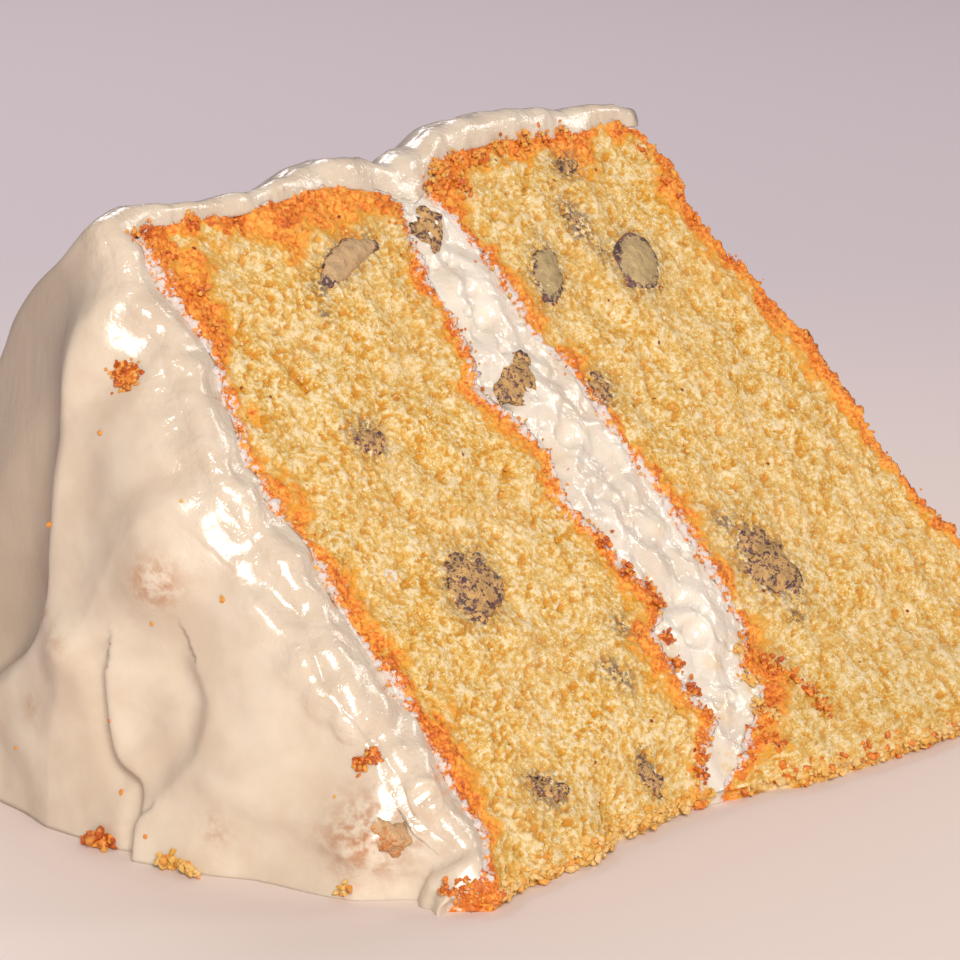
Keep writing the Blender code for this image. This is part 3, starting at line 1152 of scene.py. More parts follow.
@dataclass(frozen=True)
class Tear:
    """A crack or hole torn in the crumb of the upper cut.

    Attributes:
        points: its line as pairs of X and distance from the tip edge.
        width: half its width.
        depth: its depth.
    """

    points: Stations
    width: float
    depth: float

    def at(self, x: np.ndarray, radius: np.ndarray) -> np.ndarray:
        """How deep it is at places on the cut.

        Args:
            x: place along the cake's axis.
            radius: distance from the tip edge.

        Returns:
            Depths in millimetres.
        """
        away = line_distance(self.points, x, radius) / self.width
        return self.depth * np.exp(-away ** 2)


@dataclass(frozen=True)
class CrumbPlaces:
    """Places in a sponge layer.

    Attributes:
        x: place along the cake's axis.
        radius: distance from the tip edge.
        turn: share of the slice angle.
        from_start: distance from the iced side.
        from_end: distance from the far side.
        from_rim: distance from the rim.
    """

    x: np.ndarray
    radius: np.ndarray
    turn: np.ndarray
    from_start: np.ndarray
    from_end: np.ndarray
    from_rim: np.ndarray


@dataclass
class SpongeLayer:
    """One sponge layer: crumb in the cuts, crust at its other faces.

    Attributes:
        node: its node in the solids.
        start: boundary on its iced side.
        end: boundary on its far side.
        crust_start: width of the browned band at the start, by distance from the tip edge.
        crust_end: width of the browned band at the end, by distance from the tip edge.
        crust_rim: width of the browned band at the rim, by X.
        cream_start: width of the cream film at the start.
        cream_end: width of the cream film at the end.
        bare_end: whether the far side is open to the air.
        cells: grid cells along, across and turned.
        tears: cracks and holes in the upper cut.
        crag: height of the crust's lumps.
        lump_size: rough size of the crumb's lumps.
        grain_size: rough size of its grains.
        fine_size: rough size of its finest grains.
        pore_size: spacing of its wide pores.
        pinhole_size: spacing of its small pores.
        crag_size: spacing of the crust's lumps.
        rounding: how far its corners are worn down.
    """

    node: str
    start: Profile
    end: Profile
    crust_start: Profile
    crust_end: Profile
    crust_rim: Profile
    cream_start: float
    cream_end: float
    bare_end: bool
    cells: tuple[int, int, int]
    tears: tuple[Tear, ...]
    crag: float
    lump_size: float = 1.5
    grain_size: float = 0.62
    fine_size: float = 0.40
    pore_size: float = 1.9
    pinhole_size: float = 1.0
    crag_size: float = 0.95
    rounding: float = 0.9

    def relief(self, at: CrumbPlaces, brown: np.ndarray) -> tuple[np.ndarray, np.ndarray]:
        """Height of the torn crumb.

        Args:
            at: the places.
            brown: how browned each place is.

        Returns:
            The heights, and how deep each place lies in the crumb from 0 to 1.
        """
        spots = np.stack([at.x, at.radius, at.turn * FORM.angle * at.radius], axis=-1)
        warp = 0.5 * clouds(spots / 0.9, 1)[:, None]
        lump = clouds(spots / self.lump_size + warp, 2)
        grain = clouds(spots / self.grain_size + warp, 3)
        fine = clouds(spots / self.fine_size, 4)
        wide, _, chance = cells(spots / self.pore_size + 1.2 * warp, 20)
        pore = ease(np.clip(1.0 - wide / 0.40, 0.0, 1.0) * 1.5) * (chance > 0.62)
        ragged = 0.45 * clouds(spots / 0.45, 5)[:, None]
        small, _, luck = cells(spots / self.pinhole_size + 0.9 * warp + ragged, 30)
        pinhole = ease(np.clip(1.0 - small / 0.44, 0.0, 1.0) * 1.4) * (luck > 0.60)
        pitted = 1.0 - 0.7 * brown
        height = 0.08 * lump + 0.11 * grain + 0.12 * fine
        height -= (0.50 * pore + 0.34 * pinhole) * pitted
        # This depth goes to the material, which paints shade into the pores, pinholes and tears.
        depth = 0.36 - 0.12 * lump - 0.22 * grain - 0.24 * fine + 0.50 * pore + 0.52 * pinhole
        bulk, _, rise = cells(spots / self.crag_size + 0.8 * warp, 40)
        height += self.crag * brown * (0.9 * rise - 0.8 * bulk + 0.1)
        for tear in self.tears:
            torn = tear.at(at.x + 0.35 * fine, at.radius + 0.45 * grain) * (at.turn > NEAR_CUT)
            height -= torn
            depth += 0.4 * torn
        return height + 0.05, depth

    def build(self, material: bpy.types.Material) -> bpy.types.Object:
        """Make the layer.

        Args:
            material: the crumb material.

        Returns:
            The piece that stands for the layer's node.
        """
        sheet = Sheet.from_block(self.node + "_crumb", turned_block(*self.cells), 1.5)
        turn = sheet.turn
        nominal = mix(FORM.tip_radius, FORM.pan_radius, sheet.across)
        low = FORM.boundary(self.start, nominal, turn)
        high = FORM.boundary(self.end, nominal, turn)
        x = mix(low, high, sheet.along)
        rim = FORM.rim(x, turn)
        radius = mix(FORM.tip_radius, rim, sheet.across)
        at = CrumbPlaces(x, radius, turn, x - low, high - x, rim - radius)
        corner = (np.exp(-(at.from_start + at.from_rim) / 2.0)
                  + np.exp(-(at.from_end + at.from_rim) / 2.0))
        sheet.place(FORM.points(x, radius - self.rounding * corner, turn))
        brown = self.browning(at)
        height, depth = self.relief(at, brown)
        height += FORM.swell(x, radius) * (turn > ON_CUT)
        covered = at.from_start < 1e-6
        if not self.bare_end:
            covered |= at.from_end < 1e-6
        open_air = np.where(covered & (turn < 0.97), 0.0, 1.0)
        sheet.push(height * open_air * ease(turn * radius / 2.0) * ease(radius / 5.0 + 0.25))
        # The depth sets painted shade in the crumb's pores and tears.
        sheet.store("depth", depth)
        sheet.store("crust", brown)
        sheet.store("cream", self.creaming(at))
        stain = np.zeros(len(x))
        for nut in CUT_NUTS:
            stain = np.maximum(stain, nut.nearness(x, radius, 0.5))
        for *fleck, reach in SKIN_FLECKS:
            stain = np.maximum(stain, np.exp(-farness(x, radius, fleck, reach)))
        sheet.store("stain", 0.85 * stain * (turn > NEAR_CUT))
        return sheet.dress(self.node + "_crumb", material, "crumb", self.node)

    def browning(self, at: CrumbPlaces) -> np.ndarray:
        """How browned each place is.

        Args:
            at: the places.

        Returns:
            Values from 0, crumb, to 1, crust.
        """
        spots = noise_rows(at.x, at.radius, at.turn)
        vary = 1.0 + 0.75 * clouds(spots / 5.0, 51) + 0.35 * clouds(spots / 2.2, 53)
        ragged = 0.9 * clouds(spots / 1.3, 52)
        bands = ((at.from_start, self.crust_start.read(at.radius)),
                 (at.from_end, self.crust_end.read(at.radius)),
                 (at.from_rim, self.crust_rim.read(at.x)))
        brown = np.zeros(len(at.x))
        for distance, width in bands:
            depth = (distance + ragged * np.minimum(width, 1.5)) / np.maximum(width * vary, 0.2)
            brown = np.maximum(brown, 1.0 - ease(depth / 2.1))
        return brown

    def creaming(self, at: CrumbPlaces) -> np.ndarray:
        """How thickly cream is smeared on each place.

        Args:
            at: the places.

        Returns:
            Values from 0, none, to 1 or more, covered.
        """
        vary = 1.0 + 0.9 * clouds(noise_rows(at.x, at.radius, at.turn) / 6.0, 61)
        cream = np.zeros(len(at.x))
        for distance, width in ((at.from_start, self.cream_start), (at.from_end, self.cream_end),
                                (at.from_rim, 0.5)):
            if width > 0.0:
                cream = np.maximum(cream, 1.0 - distance / np.maximum(width * vary, 0.12))
        *lump, reach = CREAM_LUMP
        away = farness(at.x, at.radius, lump, reach)
        return np.maximum(cream, 1.5 * np.exp(-away ** 2) * (at.turn > NEAR_CUT))


@dataclass
class Filling:
    """The cream between the sponge layers.

    Attributes:
        node: its node in the solids.
        cells: grid cells along, across and turned.
        tuck: how far it runs into the crumb on each side.
        pits: air holes as X, distance from the tip edge, half width and depth.
    """

    node: str = "filling"
    cells: tuple[int, int, int] = (60, 330, 16)
    tuck: float = 0.35
    pits: tuple[tuple[float, float, float, float], ...] = (
        (41.7, 59.0, 1.3, 1.2), (44.2, 43.8, 1.3, 1.4), (47.6, 23.1, 0.9, 0.9),
        (46.1, 19.2, 1.5, 1.3), (42.2, 62.4, 0.8, 0.8))

    def build(self, material: bpy.types.Material) -> bpy.types.Object:
        """Make the filling.

        Args:
            material: the cream material.

        Returns:
            The piece that stands for the filling's node.
        """
        sheet = Sheet.from_block("filling_cream", turned_block(*self.cells), 1.5)
        turn = sheet.turn
        nominal = mix(FORM.tip_radius, FORM.pan_radius, sheet.across)
        low = FORM.boundary(FORM.upper_end, nominal, turn) - self.tuck
        high = FORM.boundary(FORM.lower_start, nominal, turn) + self.tuck
        x = mix(low, high, sheet.along)
        radius = mix(FORM.tip_radius, FORM.rim(x, turn), sheet.across)
        sheet.place(FORM.points(x, radius, turn))
        cut = np.where(turn > NEAR_CUT, 1.0, 0.0)
        spots = noise_rows(x, radius, turn)
        middle = np.sin(np.pi * sheet.along)
        height = CREAM_RELIEF.at(x, radius, 6.0) * 0.7
        height += 0.50 * clouds(spots / 2.6, 71) + 0.20 * clouds(spots / 1.2, 72)
        hole, _, chance = cells(spots / 3.0, 73)
        height -= 0.8 * ease(1.0 - hole / 0.28) * (chance > 0.5)
        for *pit, width, depth in self.pits:
            height -= depth * np.exp(-farness(x, radius, pit, width) ** 2)
        height = height * middle ** 0.4 - 0.3 * (1.0 - middle)
        sheet.push(height * cut * ease(radius / 10.0))
        sheet.store("wet", cut)
        sheet.store("drag_and_shade", np.zeros(len(x)))
        crumbs = clouds(spots / 2.6, 74) * 1.3 * np.exp(-radius / 26.0)
        sheet.store("stain", crumbs * cut)
        return sheet.dress("filling_cream", material, "filling", self.node)


@dataclass
class Icing:
    """The coat of cream over the top of the cake and around its rim.

    Attributes:
        node: its node in the solids.
        cells: grid cells along the coat, through it and turned.
        top_share: share of the cells along it that lie on the top.
        tuck: how far it reaches into the crumb.
        top: thickness over the top by distance from the tip edge.
        around: thickness around the rim by X.
        rounding: radius of its edge at the upper cut, by distance from the tip edge.
        corner_reach: how far the rounding of the corner reaches.
        edge_thinning: how much thinner it is at the upper cut.
        edge_width: how far in that reaches.
        foot_bulge: extra thickness at the foot.
        ridges: spatula ridges on the top.
        lumps: lumps on the top as Y, Z, height and half width.
        discs: flat discs of cream near the tip as Y, Z, height and radius.
        bubble: ring in the upper cut as X, distance from the tip edge and its own radius.
        stroke: edge of the long hollow stroke on the far side of the top.
        stroke_slope: how steeply the hollow falls.
        stroke_depth: its depth.
        surface: unevenness of the coat.
        pulled: how far under the upper cut the knife has pulled it.
        stains: where nuts and crumbs shine through, as Y, Z, reach and strength.
    """

    node: str = "icing"
    cells: tuple[int, int, int] = (330, 18, 118)
    top_share: float = 0.66
    tuck: float = 0.25
    top: Profile = Profile((
        (2, 1.4), (6, 5.0), (12, 8.6), (22, 9.6), (45, 9.0), (60, 9.4), (68, 8.6), (76, 6.4)))
    around: Profile = Profile((
        (0, 4.6), (6, 3.2), (20, 3.0), (38, 5.4), (42, 6.6), (50, 4.2), (60, 5.0), (72, 4.8),
        (80, 3.2)))
    rounding: Profile = Profile(((2, 1.6), (10, 3.0), (30, 3.0), (45, 3.6), (76, 3.8)))
    corner_reach: float = 9.0
    edge_thinning: float = 3.6
    edge_width: float = 4.5
    foot_bulge: float = 3.6
    ridges: tuple[Ridge, ...] = (
        Ridge(((43, 57), (48, 48), (50, 36), (50, 25), (53, 18), (59, 12)), 1.7, 3.6, 2.2, 1.6),
        Ridge(((40.5, 18), (40, 10), (36.6, 7), (36, 0)), 1.1, 2.6, 0.8, 0.8),
        Ridge(((30.2, 20), (28.5, 16.3), (29.3, 11.8), (31, 9.4), (34, 6.2)), 0.5, 2.6, 1.1, 0.6),
        Ridge(((24.5, 27), (16, 19.5), (11, 12.5)), 1.3, 0.8, 2.6, 0.3),
    )
    lumps: tuple[tuple[float, float, float, float], ...] = (
        (47.0, 20.0, 1.6, 3.4), (39.5, 47.0, 0.9, 2.2), (57.0, 34.0, 0.8, 5.0),
        (21.0, 11.0, 0.9, 4.2), (35.9, 28.4, 1.6, 4.6), (11.0, 6.4, 1.5, 4.8))
    discs: tuple[tuple[float, float, float, float], ...] = (
        (16.4, 18.4, 0.35, 2.4), (14.4, 16.2, 0.30, 1.7))
    bubble: tuple[float, float, float] = (-0.7, 12.6, 1.2)
    stroke: Stations = ((48.0, 62.0), (48.2, 48.0), (48.8, 38.0), (49.6, 28.0), (49.8, 18.0))
    stroke_slope: float = 0.36
    stroke_depth: float = 3.2
    surface: Relief = Relief(0.8, 11.0, 0.4)
    pulled: float = 3.4
    stains: tuple[tuple[float, float, float, float], ...] = (
        (34.4, 28.0, 2.4, 0.95), (11.0, 6.4, 4.0, 0.9), (47.0, 20.0, 2.0, 0.35),
        (27.0, 4.5, 1.6, 0.5), (52.0, 12.0, 1.4, 0.5), (50.4, 21.7, 1.2, 0.7))

    def hollow(self, y: np.ndarray, z: np.ndarray) -> np.ndarray:
        """Depth of the long hollow stroke.

        Args:
            y: Y of places on the top.
            z: Z of places on the top.

        Returns:
            The depths in millimetres.
        """
        beyond = np.maximum(line_distance(self.stroke, y, z), 0.0)
        ledge = ease((z - (19.5 - 0.6 * (y - 49.0))) / 2.5) * ease((60.0 - z) / 10.0)
        return np.minimum(self.stroke_slope * beyond, self.stroke_depth) * ledge

    def spatula(self, y: np.ndarray, z: np.ndarray) -> np.ndarray:
        """Height of the ridges and lumps.

        Args:
            y: Y of places on the top.
            z: Z of places on the top.

        Returns:
            The heights in millimetres.
        """
        height = -self.hollow(y, z)
        for ridge in self.ridges:
            height += ridge.height(y, z)
        for *lump, crest, width in self.lumps:
            height += crest * np.exp(-farness(y, z, lump, width))
        for disc_y, disc_z, rise, width in self.discs:
            height += rise * np.exp(-(np.hypot(y - disc_y, z - disc_z) / width) ** 6)
        return height

    def thickness(self, x: np.ndarray, radius: np.ndarray, turn: np.ndarray,
                  past_corner: np.ndarray) -> np.ndarray:
        """Thickness over places of the crumb.

        Args:
            x: place along the cake's axis.
            radius: distance from the tip edge.
            turn: share of the slice angle.
            past_corner: distance past the corner between top and rim.

        Returns:
            The thickness in millimetres.
        """
        y = radius * np.cos(turn * FORM.angle)
        z = radius * np.sin(turn * FORM.angle)
        calm = ease(radius / 14.0)
        top = self.top.read(radius)
        top += self.foot_bulge * (1.0 - turn) ** 2 * np.exp(-((radius - 33.0) / 17.0) ** 2)
        top += self.spatula(y, z) * calm
        top += self.surface.at(0.0, y, z) * calm
        from_cut = radius * FORM.angle * (1.0 - turn) / self.edge_width
        top -= self.edge_thinning * np.exp(-from_cut ** 2) * ease(radius / 16.0)
        rim = self.around.read(x) + self.surface.at(x, turn * TURN_SPAN, 30.0)
        return mix(top, rim, ease((past_corner + 1.2 * self.corner_reach)
                                  / (1.6 * self.corner_reach)))

    def on_surface(self, y: float, z: float, out: float = 0.0) -> Vector:
        """A place on the iced top.

        Args:
            y: its Y in the slice's frame.
            z: its Z.
            out: distance out of the surface.

        Returns:
            The place in metres, in the part's own frame.
        """
        radius = np.array([math.hypot(y, z)])
        turn = np.array([min(math.atan2(z, y) / FORM.angle, 0.99)])
        x = FORM.boundary(FORM.upper_start, radius, turn)
        thick = self.thickness(x, radius, turn, radius - FORM.pan_radius)
        offset, turned = self.rounded(radius, turn, np.ones(1), thick)
        return Vector(FORM.points(x - offset - out, radius, turned)[0])

    def build(self, material: bpy.types.Material) -> bpy.types.Object:
        """Make the icing.

        Args:
            material: the cream material.

        Returns:
            The piece that stands for the icing's node.
        """
        sheet = Sheet.from_block("icing_cream", turned_block(*self.cells), 1.3)
        turn, across = sheet.turn, sheet.across
        corner_x = FORM.boundary(FORM.upper_start, np.full(turn.shape, 76.0), turn)
        corner_radius = FORM.rim(corner_x, turn)
        end_x = FORM.boundary(FORM.lower_end, np.full(turn.shape, 76.0), turn)
        on_top = sheet.along <= self.top_share
        up = np.clip(sheet.along / self.top_share, 0.0, 1.0)
        over = np.clip((sheet.along - self.top_share) / (1.0 - self.top_share), 0.0, 1.0)
        nominal = mix(FORM.tip_radius, FORM.pan_radius, up)
        top_x = FORM.boundary(FORM.upper_start, nominal, turn)
        x = np.where(on_top, top_x, mix(corner_x, end_x, over))
        radius = np.where(on_top, mix(FORM.tip_radius, corner_radius, up), FORM.rim(x, turn))
        past = np.where(on_top, radius - corner_radius, x - corner_x)
        thick = self.thickness(x, radius, turn, past)
        lean = 0.5 * np.pi * ease((past + self.corner_reach) / (2.0 * self.corner_reach))
        offset, turned = self.rounded(radius, turn, across, thick)
        offset = offset - self.tuck * (1.0 - across)
        x = x - offset * np.cos(lean)
        radius = radius + offset * np.sin(lean)
        sheet.place(FORM.points(x, radius, turned))
        cut = turn > ON_CUT
        below = radius * FORM.angle * (1.0 - turn)
        near_cut = np.exp(-(below / self.pulled) ** 2)
        spots = np.stack([x, radius, below], axis=-1)
        swell = np.sin(np.pi * across) * 0.6 + CREAM_RELIEF.at(x, radius, 6.0) * 0.7
        lumps = 0.26 * clouds(spots / 2.4, 81) + 0.05 * clouds(spots / 1.1, 82)
        lumps *= 1.0 - 0.75 * ease((past + 14.0) / 8.0)
        ring_x, ring_radius, ring_size = self.bubble
        around = np.hypot(x - ring_x, radius - ring_radius) - ring_size
        lumps += 0.3 * np.exp(-(around / 0.45) ** 2) * cut
        outside = np.where((across > 0.999) | cut, 1.0, 0.0)
        sheet.push((swell + lumps) * near_cut * outside * ease(radius / 10.0))
        y = radius * np.cos(turn * FORM.angle)
        z = radius * np.sin(turn * FORM.angle)
        sheet.store("wet", near_cut * ease(radius / 12.0))
        # The hollow's depth is kept both for painted shade in the cream's colour and for the dragged
        # streaks in its relief.
        sheet.store("drag_and_shade", self.hollow(y, z) / 1.2 * ease((4.0 - x) / 7.0))
        sheet.store("stain", self.staining(x, y, z))
        return sheet.dress("icing_cream", material, "icing", self.node)

    def rounded(self, radius: np.ndarray, turn: np.ndarray, across: np.ndarray,
                thick: np.ndarray) -> tuple[np.ndarray, np.ndarray]:
        """Round the coat's outer edge at the upper cut.

        Args:
            radius: distance from the tip edge.
            turn: share of the slice angle.
            across: share through the coat, from the crumb out.
            thick: thickness of the coat.

        Returns:
            The new distance from the crumb and the new turn of each place.
        """
        reach = np.minimum(self.rounding.read(radius), 0.6 * thick)
        below = radius * FORM.angle * (1.0 - turn)
        inside = (1.0 - across) * thick
        on_cut = 0.25 * np.pi * (1.0 + np.clip(inside / reach, 0.0, 1.0))
        on_side = 0.25 * np.pi * (1.0 - np.clip(below / reach, 0.0, 1.0))
        cut = turn > ON_CUT
        cut_offset = np.where(inside < reach, thick - reach * (1.0 - np.cos(on_cut)), across * thick)
        cut_depth = np.where(inside < reach, reach * (1.0 - np.sin(on_cut)), 0.0)
        side_offset = across * (thick - reach * (1.0 - np.cos(on_side)))
        side_depth = np.where(below < reach, reach * (1.0 - np.sin(on_side)), below)
        side_depth = mix(below, side_depth, across ** 3)
        depth = np.where(cut, cut_depth, side_depth)
        return np.where(cut, cut_offset, side_offset), 1.0 - depth / (radius * FORM.angle)

    def staining(self, x: np.ndarray, y: np.ndarray, z: np.ndarray) -> np.ndarray:
        """Where nuts and crumbs shine through the cream.

        Args:
            x: place along the cake's axis.
            y: Y of the place.
            z: Z of the place.

        Returns:
            Values from 0, clear, to 1, brown.
        """
        stain = np.zeros(len(x))
        for *spot, width, strength in self.stains:
            stain = np.maximum(stain, strength * np.exp(-farness(y, z, spot, width)) * (x < 4.0))
        return stain


@dataclass
class NutPieces:
    """The pieces of nut in the cuts and in the icing.

    Attributes:
        in_icing: nodes of the pieces in the icing.
        cuts: how finely each face is split.
        sink: how far a lacy or covered piece lies under the food around it.
        rough: height of the lumps on such a piece.
        smooth: height of the lumps on the others.
    """

    in_icing: tuple[str, ...] = ("pecan_15", "pecan_16")
    cuts: int = 3
    sink: float = 0.35
    rough: float = 0.55
    smooth: float = 0.18

    def build(self) -> list[bpy.types.Object]:
        """Make every piece.

        Returns:
            The pieces, each for its own node.
        """
        finishes = {look: NutFinish(look) for look in NutLook}
        finishes[NutLook.COVERED] = NutFinish(NutLook.COVERED, skin=(200, 122, 62),
                                              deep=(160, 86, 44), worn=(214, 164, 112))
        skins = {look: finish.make("nut_" + look.name.lower()) for look, finish in finishes.items()}
        pieces = [self.piece(nut.node, nut.look, skins[nut.look]) for nut in CUT_NUTS]
        pieces += [self.piece(node, NutLook.COVERED, skins[NutLook.COVERED])
                   for node in self.in_icing]
        return pieces

    def piece(self, node: str, look: NutLook, material: bpy.types.Material) -> bpy.types.Object:
        """Make one piece from its solid.

        Args:
            node: its node in the solids.
            look: how it shows.
            material: its material.

        Returns:
            The piece.
        """
        body = bmesh.new()
        body.from_mesh(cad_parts[node].data)
        bmesh.ops.remove_doubles(body, verts=body.verts, dist=1e-6)
        bmesh.ops.subdivide_edges(body, edges=body.edges[:], cuts=self.cuts, use_grid_fill=True,
                                  smooth=0.4)
        body.normal_update()
        spots = np.array([vert.co for vert in body.verts])
        bedded = look in (NutLook.LACY, NutLook.COVERED)
        crest = self.rough if bedded else self.smooth
        heights = crest * (clouds(spots / MM / 1.1, 91) + 0.6 * clouds(spots / MM / 0.55, 92))
        if bedded:
            heights -= self.sink
        facing = np.array(FORM.cut_normal())
        flat = spots - spots.mean(axis=0)
        flat -= np.outer(flat @ facing, facing)
        sides = np.linalg.svd(flat, full_matrices=False)[2][:2]
        spans = flat @ sides.T
        reach = np.linalg.norm(spans / np.abs(spans).max(axis=0), axis=1)
        for vert, height in zip(body.verts, heights):
            vert.co += vert.normal * height * MM
        mesh = bpy.data.meshes.new(node + "_piece")
        body.to_mesh(mesh)
        body.free()
        layer = mesh.attributes.new("outline", "FLOAT", "POINT")
        layer.data.foreach_set("value", (np.minimum(reach, 1.0) ** 2).astype(np.float32))
        mesh.shade_smooth()
        mesh.materials.append(material)
        return show(node + "_piece", mesh, "nut", node)


@dataclass(frozen=True)
class Clump:
    """A heap of crumbs that stands off the cake.

    Attributes:
        spots: places on the upper cut, as X and distance from the tip edge.
        count: how many grains each place gets.
        spread: how far they scatter.
        brown: how browned they are.
        height: how high they lie over the cut.
    """

    spots: Stations
    count: int
    spread: float
    brown: float
    height: float


CLUMPS = (
    Clump(((44.6, 74.7), (46.2, 76.0), (48.4, 74.2), (50.4, 77.4), (54.0, 77.0), (58.3, 77.8),
           (62.0, 78.2), (65.4, 78.2), (69.0, 78.0), (47.2, 76.8)), 55, 1.0, 0.45, 0.35),
    Clump(((80.4, 74.6), (80.3, 69.9), (82.0, 67.6), (82.4, 71.5), (82.2, 64.5), (84.8, 58.4),
           (88.6, 48.0)), 26, 0.8, 0.55, 0.0),
    Clump(((40.3, 31.5), (41.8, 28.1), (43.6, 25.2), (43.2, 23.4), (41.9, 19.7), (41.3, 16.8),
           (41.5, 13.8), (41.4, 10.6), (39.2, 8.1), (38.6, 6.2), (37.5, 4.4)), 26, 0.8, 0.6, 0.3),
    Clump(((53.3, 16.9), (54.0, 14.3), (56.5, 11.2), (57.4, 7.9), (47.2, 6.6), (48.2, 5.9),
           (54.4, 12.9), (57.2, 9.8)), 26, 0.9, 0.55, 0.2),
    Clump(((50.5, 12.5), (49.0, 10.0), (51.5, 15.5), (50.2, 8.6)), 30, 1.0, 0.15, 0.1),
    Clump(((1.6, 2.2), (3.5, 2.1), (9.6, 2.1), (17.1, 2.0), (19.2, 1.9), (23.7, 2.4), (30.6, 2.3)),
          30, 0.8, 0.12, 0.0),
    Clump(((-2.6, 2.4), (-3.4, 2.9), (-1.4, 3.4)), 22, 0.7, 0.55, 0.1),
    Clump(((0.3, 74.6), (2.2, 75.6), (4.4, 73.0), (5.2, 68.0), (4.2, 64.0), (9.0, 76.2)), 30, 1.1,
          0.6, 0.1),
)


